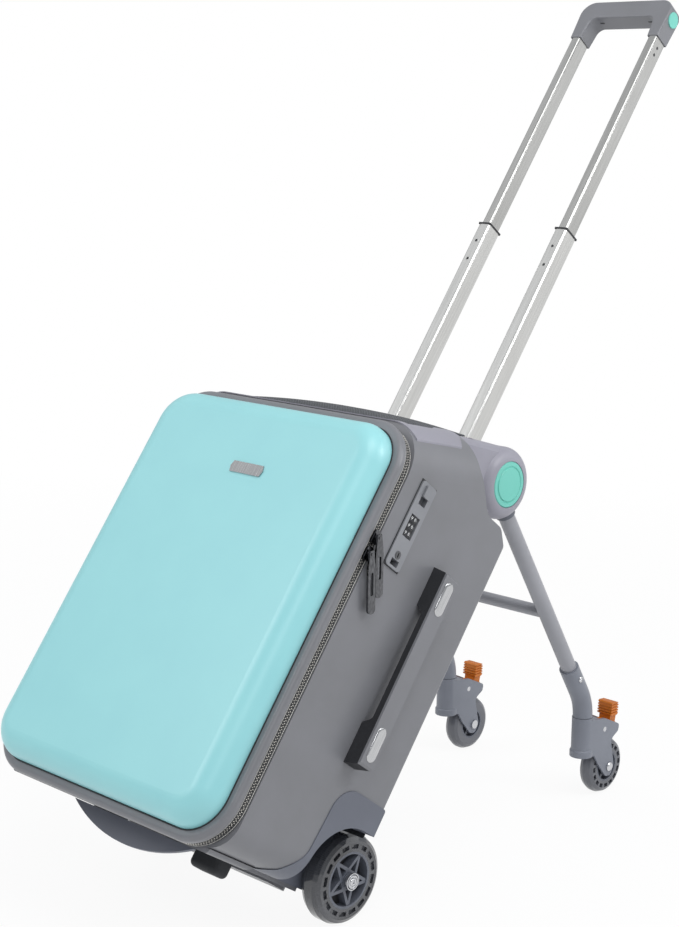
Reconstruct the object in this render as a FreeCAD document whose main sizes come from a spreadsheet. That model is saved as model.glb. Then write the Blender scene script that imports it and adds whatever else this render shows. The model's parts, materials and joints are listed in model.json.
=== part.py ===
import FreeCAD, Part
import math
import os
import re

import Sketcher
from FreeCAD import Placement, Rotation, Vector

# Ride-on suitcase, leaning back on its two large wheels and its fold-out rear legs.
# Millimetres and degrees. +Z is up, the front panel faces -Y, the lock is on the +X side, and the
# origin lies on the floor below the middle of the large wheels' axle.
# Most pieces are drawn in the case's own frame: X across, Y from the front to the back, Z up the case.

DOC = FreeCAD.newDocument("ride_on_suitcase")
SHEET = DOC.addObject("Spreadsheet::Sheet", "sizes")

SIZES = {
    # Case
    "case_lean": 36.6,
    "panel_width": 320,
    "panel_height": 424,
    "panel_corner": 40,
    "panel_bulge": 28,
    "panel_edge_round": 23,
    "panel_wall": 3,
    "panel_gap": 0.8,
    "rim_width": 10,
    "rim_depth": 8,
    "rim_round": 5,
    "zip_half": 5.3,
    "zip_gap": 0.4,
    "zip_inset": 1.2,
    "zip_thick": 3,
    "post_radius": 1.6,
    "badge_mid": 13,
    "badge_drop": 80,
    "badge_up": "=panel_height - badge_drop",
    "badge_half": 23,
    "badge_tall": 12,
    "case_depth": 198,
    "shell_wall": 3,
    "back_round": 6,
    "base_round": 30,
    "base_slope": 4,
    "base_thick": 5,
    "base_inset": 22,
    "seat_slope": 23.3,
    "frame_thick": 4,
    "notch_long": 104,
    "notch_run": 28,
    "notch_drop": 19,
    "notch_heel": 17,
    "notch_start": "=case_depth - notch_long",
    "notch_mid": "=notch_start + notch_run",
    "notch_floor": "=panel_height + rim_width - notch_drop",
    "notch_back": "=notch_floor - notch_heel",
    # Seat
    "trim_inset": 4,
    "trim_half": "=panel_width / 2 - trim_inset",
    "trim_thick": 1.2,
    "trim_start": 18.5,
    "trim_rear": 98,
    "trim_end": "=case_depth - trim_rear",
    "pad_inset": 28,
    "pad_step": 20,
    "pad_half": "=panel_width / 2 - pad_inset",
    "pad_rear_half": "=pad_half - pad_step",
    "pad_start": 28,
    "pad_rear": 102,
    "pad_neck": "=case_depth - pad_rear",
    "pad_taper": 30,
    "pad_run": 64,
    "pad_end": "=pad_neck + pad_run",
    "pad_sink": 6,
    "pad_crown": 10,
    "pad_edge": 3,
    "pad_draw": 5,
    "soft_clear": 0.4,
    # Large wheels and their housings
    "wheel_radius": 46,
    "wheel_width": 24,
    "wheel_side": 7,
    "wheel_inner": "=housing_inner + wheel_side",
    "wheel_up": 35,
    "wheel_behind": 24,
    "wheel_back": "=case_depth + wheel_behind",
    "hub_radius": 29,
    "hub_ring": 2.5,
    "pocket_share": 0.33,
    "pocket_tall": 4.5,
    "pocket_deep": 3,
    "pocket_edge": 3,
    "spoke_width": 3.2,
    "boss_radius": 8.5,
    "axle_radius": 5,
    "axle_head": 7,
    "run_clear": 0.05,
    "housing_inset": 46,
    "housing_inner": "=panel_width / 2 - housing_inset",
    "housing_wall": 5,
    "housing_proud": 1,
    "housing_top": 108.3,
    "housing_long": 74.5,
    "housing_front": "=case_depth - housing_long",
    "housing_round": 28,
    "housing_toe": "=housing_front - 47.5",
    "housing_bow": "=housing_front - 23.5",
    "housing_bow_up": 8,
    "housing_shin": "=housing_front - 5.5",
    "housing_shin_up": 33,
    "arch_radius": 58,
    "arch_up": 22,
    "arch_ahead": 16,
    "arch_back": "=case_depth - arch_ahead",
    # Top housing and leg hinge
    "barrel_rise": 43,
    "barrel_behind": 13.5,
    "barrel_up": "=panel_height + rim_width + barrel_rise",
    "barrel_back": "=case_depth + barrel_behind",
    "barrel_radius": 39,
    "barrel_inset": 32,
    "barrel_half": "=panel_width / 2 - barrel_inset",
    "barrel_round": 14,
    "wedge_round": 24,
    "bore_radius": 30.3,
    "bore_long": 35,
    "bore_wall": 9,
    "bore_outer": "=barrel_half - bore_wall",
    "bore_inner": "=bore_outer - bore_long",
    "drum_clear": 0.4,
    "button_radius": 24.7,
    "button_clear": 0.3,
    "button_press": 3,
    "button_lip": 0.4,
    "pivot_radius": 6,
    "pivot_inset": 4,
    # Rear legs
    "leg_inset": 23.7,
    "leg_spread": "=barrel_half - leg_inset",
    "leg_angle": 32.3,
    "leg_radius": 9,
    "leg_wall": 1.5,
    "leg_fold": 50,
    "collar_radius": 11,
    "collar_reach": 47,
    "crossbar_radius": 7,
    "crossbar_lift": 145.4,
    "sleeve_long": 57.4,
    "sleeve_radius": 11.5,
    "elbow_bend": 60,
    "sleeve_lap": 38,
    "drum_lap": 28,
    # Casters
    "caster_radius": 33.2,
    "caster_width": 18,
    "caster_hub": 19,
    "caster_trail": 40,
    "stem_radius": 12.2,
    "hood_radius": 13.6,
    "hood_tall": 9,
    "stem_top": 102,
    "stem_low": 58,
    "swivel_gap": 0.5,
    "swivel_pin": 5,
    "fork_gap": 19.4,
    "fork_plate": 2.5,
    "lever_width": 15.6,
    "paddle_width": 20,
    "groove_pitch": 3.2,
    "groove_wide": 1.4,
    "groove_deep": 1,
    "lever_pin": 3,
    "lever_pin_ahead": 11,
    "lever_pin_down": 20,
    "caster_axle": 4,
    "caster_head": 5.4,
    # Telescopic handle
    "tube_inset": 28.7,
    "tube_spread": "=bore_inner - tube_inset",
    "channel_clear": 3,
    "cover_round": 9,
    "tube_behind": 7,
    "tube_back": "=case_depth + tube_behind",
    "sleeve_wide": 18.8,
    "sleeve_deep": 26.5,
    "lower_wide": 15.8,
    "lower_deep": 23.5,
    "upper_wide": 12.6,
    "upper_deep": 20.9,
    "tube_clear": 0.3,
    "tube_wall": 1.2,
    "sleeve_foot": 12,
    "lower_seat": 5,
    "lower_reach": 367,
    "lower_end": "=notch_floor + lower_seat",
    "lower_top": "=lower_end + lower_reach",
    "lower_travel": 260,
    "upper_lap": 65,
    "upper_reach": 271.5,
    "upper_end": "=lower_top - upper_lap",
    "grip_low": "=lower_top + upper_reach",
    "grip_tall": 52.5,
    "grip_top": "=grip_low + grip_tall",
    "grip_wall": 1.2,
    "grip_flare": 3,
    "grip_half": "=tube_spread + upper_wide / 2 + grip_wall + grip_flare",
    "grip_corner": 18,
    "grip_soft": 2,
    "grip_deep": 24,
    "grip_bar": 24,
    "upper_travel": 250,
    "collar_wall": 0.4,
    "collar_seat": 1,
    "collar_tall": 2.2,
    "cover_side": 24.7,
    "cover_half": "=tube_spread + cover_side",
    "cover_wall": 2.5,
    "cap_radius": 9.3,
    "cap_deep": 3,
    "cap_down": 22,
    # Side fittings
    "lock_drop": 38,
    "lock_long": 91,
    "lock_high": "=panel_height + rim_width - lock_drop",
    "lock_low": "=lock_high - lock_long",
    "lock_mid": 51,
    "lock_wide": 24,
    "lock_thick": 2,
    "digit_radius": 6.4,
    "digit_wide": 7.4,
    "digit_gap": 0.3,
    "digit_up": 33,
    "digit_proud": 0.8,
    "digit_axle": 1.5,
    "key_radius": 4.2,
    "key_up": 14,
    "inlay_half": 7,
    "inlay_long": 36,
    "inlay_start": 9,
    "inlay_deep": 2,
    "handle_mid": 119,
    "handle_drop": 99,
    "handle_long": 210,
    "handle_high": "=panel_height + rim_width - handle_drop",
    "handle_low": "=handle_high - handle_long",
    "handle_wide": 22,
    "handle_out": 20,
    "handle_block": 42,
    "handle_strap": 7.5,
    "handle_plate": 2.6,
    # Feet and footrest
    "foot_low": 20,
    "foot_inset": 82,
    "foot_mid": "=panel_width / 2 - foot_inset",
    "foot_wide": 37,
    "foot_front": 90,
    "foot_long": 26,
    "foot_round": 8,
    "rest_back": 66,
    "rest_down": 10.4,
    "rest_half": 90,
    "rest_ear": 52.8,
    "ear_half": 5,
    "rest_slack": 0.5,
    "rest_tip": 24,
    "rest_root": 2.5,
    "rest_drop": 29.5,
    "rest_thick": 4,
    "rest_ahead": 6,
    "rest_skin": 2,
    "rest_eye": 3.6,
    "rest_pin": 2,
    "rest_wall": 1.5,
}

for row, (alias, number) in enumerate(SIZES.items(), start=1):
    SHEET.set(f"A{row}", alias)
    SHEET.set(f"B{row}", str(number))
    SHEET.setAlias(f"B{row}", alias)
DOC.recompute()

WORD = re.compile(r"[a-z][a-z_]*")
X_AXIS = Vector(1, 0, 0)
Y_AXIS = Vector(0, 1, 0)
TURNS = {"x": Rotation(Y_AXIS, 90), "y": Rotation(X_AXIS, -90), "z": Rotation()}
PLANES = {"side": "YZ_Plane", "front": "XZ_Plane", "plan": "XY_Plane"}
NODES = []


def bound(text):
    """The expression with every size name pointed at its cell."""
    return WORD.sub(lambda word: f"sizes.{word[0]}" if word[0] in SIZES else word[0], str(text))


def value(text):
    return float(SHEET.evalExpression(bound(text)))


def point(*texts):
    return Vector(*[value(text) for text in texts])


def box(name, low, high):
    """Block between two corners, each given as three expressions."""
    piece = DOC.addObject("Part::Box", name)
    for size, start, end in zip(("Length", "Width", "Height"), low, high):
        piece.setExpression(size, bound(f"({end}) - ({start})"))
    piece.Placement.Base = point(*low)
    return piece


def rod(name, radius, start, length, axis):
    piece = DOC.addObject("Part::Cylinder", name)
    piece.setExpression("Radius", bound(radius))
    piece.setExpression("Height", bound(length))
    piece.Placement = Placement(point(*start), TURNS[axis])
    return piece


def chained(kind, name, first, others):
    piece = first
    for index, other in enumerate(others, start=1):
        step = DOC.addObject(kind, f"{name}_{index}")
        step.Base = piece
        step.Tool = other
        piece = step
    return piece


def cut(name, first, *tools):
    return chained("Part::Cut", name + "_cut", first, tools)


def fuse(name, first, *others):
    return chained("Part::Fuse", name + "_fuse", first, others)


def common(name, first, *others):
    return chained("Part::Common", name + "_common", first, others)


def group(name, *pieces):
    piece = DOC.addObject("Part::Compound", name)
    piece.Links = list(pieces)
    return piece


def mirrored(name, source):
    piece = DOC.addObject("Part::Mirroring", name)
    piece.Source = source
    piece.Normal = X_AXIS
    return piece


def rounded(name, base, radius, chosen):
    """Edges of the base that the test accepts, rounded to one radius."""
    DOC.recompute()
    piece = DOC.addObject("Part::Fillet", name)
    piece.Base = base
    size = value(radius)
    piece.Edges = [(i, size, size) for i, edge in enumerate(base.Shape.Edges, start=1) if chosen(edge)]
    return piece


def outline(body, plane, corners):
    """Closed polygon on one of the body's own planes, every corner held by two bound distances."""
    sketch = body.newObject("Sketcher::SketchObject", body.Name + "_outline")
    support = [item for item in body.Origin.OriginFeatures if item.Role == PLANES[plane]]
    sketch.AttachmentSupport = [(support[0], "")]
    sketch.MapMode = "FlatFace"
    places = [Vector(value(across), value(along), 0) for across, along in corners]
    count = len(corners)
    for index in range(count):
        sketch.addGeometry(Part.LineSegment(places[index], places[(index + 1) % count]))
    for index in range(count):
        sketch.addConstraint(Sketcher.Constraint("Coincident", index, 2, (index + 1) % count, 1))
    for index, corner in enumerate(corners):
        for kind, text, place in zip(("DistanceX", "DistanceY"), corner, places[index]):
            held = sketch.addConstraint(Sketcher.Constraint(kind, -1, 1, index, 1, place))
            sketch.setExpression(f"Constraints[{held}]", bound(text))
    return sketch, places


def prism(name, plane, corners, start, end, rounding=None):
    """Polygon drawn on a plane and padded along its normal, with some corners rounded."""
    body = DOC.addObject("PartDesign::Body", name)
    sketch, places = outline(body, plane, corners)
    pad = body.newObject("PartDesign::Pad", name + "_pad")
    pad.Profile = sketch
    pad.setExpression("Length", bound(f"({end}) - ({start})"))
    pad.Reversed = plane == "front"
    DOC.recompute()
    flat = {"side": lambda p: (p.y, p.z), "front": lambda p: (p.x, p.z), "plan": lambda p: (p.x, p.y)}[plane]
    last = pad
    for number, (corner, radius) in enumerate((rounding or {}).items()):
        place = places[corner]
        names = []
        for index, edge in enumerate(last.Shape.Edges, start=1):
            spots = [flat(vertex.Point) for vertex in edge.Vertexes]
            if len(spots) == 2 and all(math.dist(spot, (place.x, place.y)) < 1e-4 for spot in spots):
                names.append(f"Edge{index}")
        fillet = body.newObject("PartDesign::Fillet", f"{name}_round_{number}")
        fillet.Base = (last, names)
        fillet.setExpression("Radius", bound(radius))
        DOC.recompute()
        last = fillet
    body.Tip = last
    normal = {"side": Vector(1, 0, 0), "front": Vector(0, 1, 0), "plan": Vector(0, 0, 1)}[plane]
    body.Placement.Base = normal * value(start)
    return body


def turned(name, corners):
    """Profile of (along, radius) corners turned about the X axis."""
    body = DOC.addObject("PartDesign::Body", name)
    sketch, _ = outline(body, "plan", corners)
    turn = body.newObject("PartDesign::Revolution", name + "_turn")
    turn.Profile = sketch
    turn.ReferenceAxis = (sketch, ["H_Axis"])
    turn.Angle = 360
    DOC.recompute()
    return body


def moved(piece, frame):
    piece.Placement = frame.multiply(piece.Placement)
    return piece


def node(label, piece, frame=Placement()):
    """Names a finished piece, seats it in its frame and lists it for writing."""
    DOC.recompute()
    moved(piece, frame)
    piece.Label = label
    NODES.append(piece)
    return piece


# Frames
LEAN = value("case_lean")
LEAN_SIN = math.sin(math.radians(LEAN))
LEAN_COS = math.cos(math.radians(LEAN))
SEAT_RISE = math.tan(math.radians(value("seat_slope")))
BASE_RISE = math.tan(math.radians(value("base_slope")))
CASE_Y = -(value("wheel_up") * LEAN_SIN + value("wheel_back") * LEAN_COS)
CASE_Z = value("wheel_radius") - value("wheel_up") * LEAN_COS + value("wheel_back") * LEAN_SIN
CASE = Placement(Vector(0, CASE_Y, CASE_Z), Rotation(X_AXIS, -LEAN))
SEAT = Placement(point("0", "0", "panel_height + rim_width"), Rotation(X_AXIS, value("seat_slope")))
BASE = Placement(point("0", "0", "-rim_width - 1"), Rotation(X_AXIS, value("base_slope")))
BARREL = CASE.multVec(point("0", "barrel_back", "barrel_up"))
LEG = Placement(BARREL, Rotation(X_AXIS, value("leg_angle")))
LEG_TAN = math.tan(math.radians(value("leg_angle")))
BEND_RUN = value("elbow_bend") * math.tan(math.radians(value("leg_angle") / 2))
CORNER_Z = value("stem_top") + BEND_RUN
SWIVEL_Y = BARREL.y + (BARREL.z - CORNER_Z) * LEG_TAN
LEG_REACH = (BARREL.z - CORNER_Z) / math.cos(math.radians(value("leg_angle")))
SLEEVE_START = f"{LEG_REACH} - sleeve_long"
SWIVEL = Placement(Vector(value("leg_spread"), SWIVEL_Y, 0), Rotation())
WHEEL = CASE.multiply(Placement(point("0", "wheel_back", "wheel_up"), Rotation()))

# Often used stations in the case's frame
SIDE = "panel_width / 2 + rim_width"
TOP = "panel_height + rim_width"
SHELL_FRONT = "rim_depth - 1 + 2 * zip_half + zip_gap"


def top_at(depth):
    return f"{TOP} + ({depth}) * {SEAT_RISE:.6f}"


def base_at(depth):
    return f"-rim_width - 1 + ({depth}) * {BASE_RISE:.6f}"


FAR = "700"
POCKETS = 16
CHANNEL_FRONT = "tube_back - sleeve_deep / 2 - channel_clear"
CAP_SEAT = ("grip_half - cap_deep", "tube_back", "grip_top - cap_down")
PIVOT_START = "tube_spread + sleeve_wide / 2 + pivot_inset"
DIAL_AXIS = f"{SIDE} + lock_thick + digit_proud - digit_radius"
ZIP_MIDDLE = "rim_depth - 1 + zip_half + zip_gap / 2"
ZIP_INNER = "rim_width - zip_inset - zip_thick"
REST_PIVOT = ("rest_back", "-rest_down")
LEVER_PIVOT = ("caster_trail - lever_pin_ahead", "stem_top - lever_pin_down")


def shoulder(name, grow):
    """Long bar with the case's rounded shoulders; grow moves its faces outwards."""
    half = f"{SIDE} + ({grow})"
    bar = prism(
        name,
        "front",
        [(f"-({half})", f"-{FAR}"), (half, f"-{FAR}"), (half, grow), (f"-({half})", grow)],
        "-200",
        FAR,
        {2: f"panel_corner + rim_width + ({grow})", 3: f"panel_corner + rim_width + ({grow})"},
    )
    return moved(bar, SEAT)


def keel(name, grow):
    """Long bar with the case's rounded lower edges."""
    half = f"{SIDE} + ({grow})"
    low = f"base_thick - ({grow})"
    bar = prism(
        name,
        "front",
        [(f"-({half})", low), (half, low), (half, FAR), (f"-({half})", FAR)],
        "-200",
        FAR,
        {0: f"base_round + ({grow})", 1: f"base_round + ({grow})"},
    )
    return moved(bar, BASE)


def housing_outline(name, start, end, spare="0"):
    """Side outline of a wheel housing, padded across the case; spare runs it on below and behind."""
    back = f"case_depth - 1 + ({spare})"
    return prism(
        name,
        "side",
        [
            (f"housing_toe - ({spare})", f"{base_at('housing_toe')} - ({spare}) * 0.55"),
            ("housing_bow", "housing_bow_up"),
            ("housing_shin", "housing_shin_up"),
            ("housing_front", "housing_top"),
            (back, "housing_top"),
            (back, f"{base_at('case_depth')} - ({spare})"),
        ],
        start,
        end,
        {2: "30", 3: "housing_round", 4: "3"},
    )


def side_outline(name, shrink, front):
    """Side view of the shell: sloped seat, notch below the hinge barrel, straight back."""
    back = f"case_depth - ({shrink})"
    return prism(
        name,
        "side",
        [
            (front, f"-{FAR}"),
            (back, f"-{FAR}"),
            (back, f"notch_back - ({shrink})"),
            (f"case_depth - 20 - ({shrink}) * 0.6", f"notch_floor - ({shrink})"),
            (f"notch_mid + 28 - ({shrink}) * 0.6", f"notch_floor - ({shrink})"),
            (f"notch_mid - 8 - ({shrink})", f"notch_floor + 32 - ({shrink}) * 0.5"),
            (f"notch_start - ({shrink})", top_at("notch_start")),
            (f"notch_start - ({shrink})", FAR),
            (front, FAR),
        ],
        f"-{FAR}",
        FAR,
        {3: "12", 4: "24", 5: "20"},
    )


def pad_room(name):
    """Recess that seats the pad, narrower where it runs onto the hinge housing."""
    room = prism(
        name,
        "plan",
        [
            ("-pad_half", "pad_start"),
            ("pad_half", "pad_start"),
            ("pad_half", "pad_neck - pad_taper"),
            ("pad_rear_half", "pad_neck"),
            ("pad_rear_half", "pad_end"),
            ("-pad_rear_half", "pad_end"),
            ("-pad_rear_half", "pad_neck"),
            ("-pad_half", "pad_neck - pad_taper"),
        ],
        "-pad_sink",
        "60",
    )
    return moved(room, SEAT)


def panel_slab(name, grow, start, end):
    """Slab with the front panel's rounded outline, moved outwards by grow."""
    half = f"panel_width / 2 + ({grow})"
    radius = f"panel_corner + ({grow})"
    return prism(
        name,
        "front",
        [
            (f"-({half})", f"-({grow})"),
            (half, f"-({grow})"),
            (half, f"panel_height + ({grow})"),
            (f"-({half})", f"panel_height + ({grow})"),
        ],
        start,
        end,
        {corner: radius for corner in range(4)},
    )


def body_shell():
    back_corners = prism(
        "back_corners",
        "plan",
        [
            (f"-({SIDE})", "-200"),
            (SIDE, "-200"),
            (SIDE, "case_depth"),
            (f"-({SIDE})", "case_depth"),
        ],
        "-200",
        FAR,
        {2: "back_round", 3: "back_round"},
    )
    outer = common(
        "shell_outer",
        side_outline("shell_side", "0", SHELL_FRONT),
        shoulder("shell_shoulder", "0"),
        keel("shell_keel", "0"),
        back_corners,
    )
    inner = common(
        "shell_inner",
        side_outline("cavity_side", "shell_wall", f"{SHELL_FRONT} + frame_thick"),
        shoulder("cavity_shoulder", "-shell_wall - pad_sink"),
        keel("cavity_keel", "-shell_wall"),
    )
    mouth = panel_slab("shell_mouth", ZIP_INNER, f"{SHELL_FRONT} - 5", f"{SHELL_FRONT} + frame_thick + 5")
    shell = cut("shell_hollow", outer, inner, mouth)
    channel_wall = box(
        "channel_wall",
        (
            "-cover_half - shell_wall",
            f"{CHANNEL_FRONT} - shell_wall",
            f"{base_at('case_depth')} + base_thick + 0.5",
        ),
        ("cover_half + shell_wall", "case_depth - 1", "notch_floor - 1"),
    )
    channel = box(
        "channel",
        ("-cover_half", CHANNEL_FRONT, "-100"),
        ("cover_half", "case_depth + 50", "notch_floor + 20"),
    )
    shell = cut("shell_channel", fuse("shell_channel", shell, channel_wall), channel)
    right = housing_outline("housing_room_right", "housing_inner", "200", "60")
    recess = pad_room("seat_recess")
    lock_room = box(
        "lock_room",
        (f"{SIDE} - 20", "lock_mid - lock_wide / 2 + 2", "lock_low + 2"),
        (f"{SIDE} + 20", "lock_mid + lock_wide / 2 - 2", "lock_high - 2"),
    )
    return cut("body_shell", shell, right, mirrored("housing_room_left", right), recess, lock_room)


def base_tray():
    half = f"{SIDE} - base_inset"
    tray = moved(
        prism(
            "tray_plate",
            "front",
            [(f"-({half})", "0"), (half, "0"), (half, "base_thick"), (f"-({half})", "base_thick")],
            f"{SHELL_FRONT} + 1",
            "case_depth - back_round",
            {0: "base_thick * 0.9", 1: "base_thick * 0.9"},
        ),
        BASE,
    )
    right = housing_outline("tray_room_right", "housing_inner", "200", "60")
    ears = []
    for side in (-1, 1):
        root = box(
            f"ear_root_{side}",
            (f"{side} * rest_ear - ear_half", "rest_back - rest_eye", "-rest_down"),
            (f"{side} * rest_ear + ear_half", "rest_back + rest_eye", "-rim_width + base_thick + 2"),
        )
        start = f"{side} * rest_ear - ear_half"
        eye = rod(f"ear_eye_{side}", "rest_eye", (start, *REST_PIVOT), "2 * ear_half", "x")
        hole = rod(f"ear_hole_{side}", "rest_pin + run_clear", (start, *REST_PIVOT), "2 * ear_half", "x")
        ears.append(cut(f"rest_ear_{side}", fuse(f"ear_{side}", root, eye), hole))
    tray = fuse("tray_ears", tray, *ears)
    channel = box(
        "tray_channel",
        ("-cover_half", CHANNEL_FRONT, "-100"),
        ("cover_half", "case_depth + 50", "20"),
    )
    return cut("base_tray", tray, right, mirrored("tray_room_left", right), channel)


def wheel_housing():
    """Right housing: outer fender, wheel well, inner wall and the arm that carries the axle."""
    block = common(
        "housing_block",
        housing_outline("housing_side", "housing_inner", f"{SIDE} + housing_proud"),
        keel("housing_keel", "housing_proud"),
    )
    well_start = "housing_inner + housing_wall"
    arch = rod("wheel_arch", "arch_radius", (well_start, "arch_back", "arch_up"), "100", "x")
    rear = box(
        "wheel_room_rear",
        (well_start, "arch_back", "-100"),
        (f"{well_start} + 100", "arch_back + 100", "arch_up + arch_radius"),
    )
    low = box(
        "wheel_room_low",
        (well_start, "arch_back - arch_radius", "-100"),
        (f"{well_start} + 100", "arch_back + 1", "arch_up"),
    )
    arm = prism(
        "axle_arm",
        "side",
        [
            ("case_depth - 6", "wheel_up - 22"),
            ("wheel_back + 14", "wheel_up - 14"),
            ("wheel_back + 14", "wheel_up + 14"),
            ("case_depth - 6", "wheel_up + 34"),
        ],
        "housing_inner",
        "housing_inner + housing_wall",
        {1: "13", 2: "13"},
    )
    hole = rod("axle_hole", "axle_radius", ("0", "wheel_back", "wheel_up"), "300", "x")
    shape = fuse("wheel_housing", cut("wheel_housing", block, arch, rear, low), arm)
    return cut("wheel_housing_bore", shape, hole)


def wheel_axle():
    """Right axle: bolt with its head outside the wheel and a nut inside the arm."""
    low = "housing_inner - 6"
    return turned(
        "wheel_axle_turn",
        [
            (low, "0"),
            ("wheel_inner + wheel_width + 5", "0"),
            ("wheel_inner + wheel_width + 5", "axle_head - 1.5"),
            ("wheel_inner + wheel_width + 3.5", "axle_head"),
            ("wheel_inner + wheel_width + 1", "axle_head"),
            ("wheel_inner + wheel_width + 1", "axle_radius"),
            ("housing_inner", "axle_radius"),
            ("housing_inner", "axle_head"),
            (low, "axle_head"),
        ],
    )


def tyre(name, radius, width, seat, inner):
    """Tyre with a crowned tread and a ring of pockets in its outer side, turned about X from its inner face."""
    ring = turned(
        f"{name}_ring",
        [
            (inner, f"{seat}"),
            (f"{inner} + {width}", f"{seat}"),
            (f"{inner} + {width}", f"{radius} - 6"),
            (f"{inner} + {width} - 2.2", f"{radius} - 2.2"),
            (f"{inner} + {width} - 7", radius),
            (f"{inner} + 7", radius),
            (f"{inner} + 2.2", f"{radius} - 2.2"),
            (inner, f"{radius} - 6"),
        ],
    )
    pockets = []
    wide = f"{seat} * pocket_share"
    for index in range(POCKETS):
        pocket = DOC.addObject("Part::Box", f"{name}_pocket_{index}")
        pocket.setExpression("Length", bound("pocket_deep + 1"))
        pocket.setExpression("Width", bound(wide))
        pocket.setExpression("Height", bound("pocket_tall"))
        turn = Rotation(X_AXIS, 360 * index / POCKETS)
        corner = point(f"{inner} + {width} - pocket_deep", f"-{wide} / 2", f"{seat} + pocket_edge")
        pocket.Placement = Placement(turn.multVec(corner), turn)
        pockets.append(pocket)
    return cut(name, ring, group(f"{name}_pockets", *pockets))


def star_hub():
    """Hub with a rim ring, a boss and five crossing bars that form a star."""
    inner = "wheel_inner"
    outer = "wheel_inner + wheel_width"
    ring = turned(
        "hub_ring",
        [
            (inner, "hub_radius - hub_ring"),
            (outer, "hub_radius - hub_ring"),
            (outer, "hub_radius"),
            (inner, "hub_radius"),
        ],
    )
    web = turned(
        "hub_web",
        [
            ("wheel_inner + wheel_width / 2 - 1.5", "boss_radius - 1"),
            ("wheel_inner + wheel_width / 2 + 1.5", "boss_radius - 1"),
            ("wheel_inner + wheel_width / 2 + 1.5", "hub_radius - hub_ring + 0.5"),
            ("wheel_inner + wheel_width / 2 - 1.5", "hub_radius - hub_ring + 0.5"),
        ],
    )
    boss = turned(
        "hub_boss",
        [
            ("housing_inner + housing_wall + 0.5", "axle_radius + run_clear"),
            ("wheel_inner + wheel_width + 0.5", "axle_radius + run_clear"),
            ("wheel_inner + wheel_width + 0.5", "boss_radius"),
            ("housing_inner + housing_wall + 0.5", "boss_radius"),
        ],
    )
    # A star bar joins two rim points 144 degrees apart, so it passes the centre at cos 72 of the reach.
    reach = value("hub_radius - hub_ring + 0.8")
    gap = reach * math.cos(math.radians(72))
    half = reach * math.sin(math.radians(72))
    bars = []
    for index in range(5):
        bar = DOC.addObject("Part::Box", f"star_bar_{index}")
        bar.setExpression("Length", bound("wheel_width - 2"))
        bar.Width = 2 * half
        bar.setExpression("Height", bound("spoke_width"))
        turn = Rotation(X_AXIS, 72 * index)
        corner = Vector(value("wheel_inner + 1"), -half, gap - value("spoke_width / 2"))
        bar.Placement = Placement(turn.multVec(corner), turn)
        bars.append(bar)
    rim = turned(
        "hub_limit",
        [
            (inner, "axle_radius + run_clear"),
            (outer, "axle_radius + run_clear"),
            (outer, "hub_radius - 0.5"),
            (inner, "hub_radius - 0.5"),
        ],
    )
    star = common("star", fuse("star_bars", *bars), rim)
    return fuse("star_hub", ring, web, boss, star)


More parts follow.
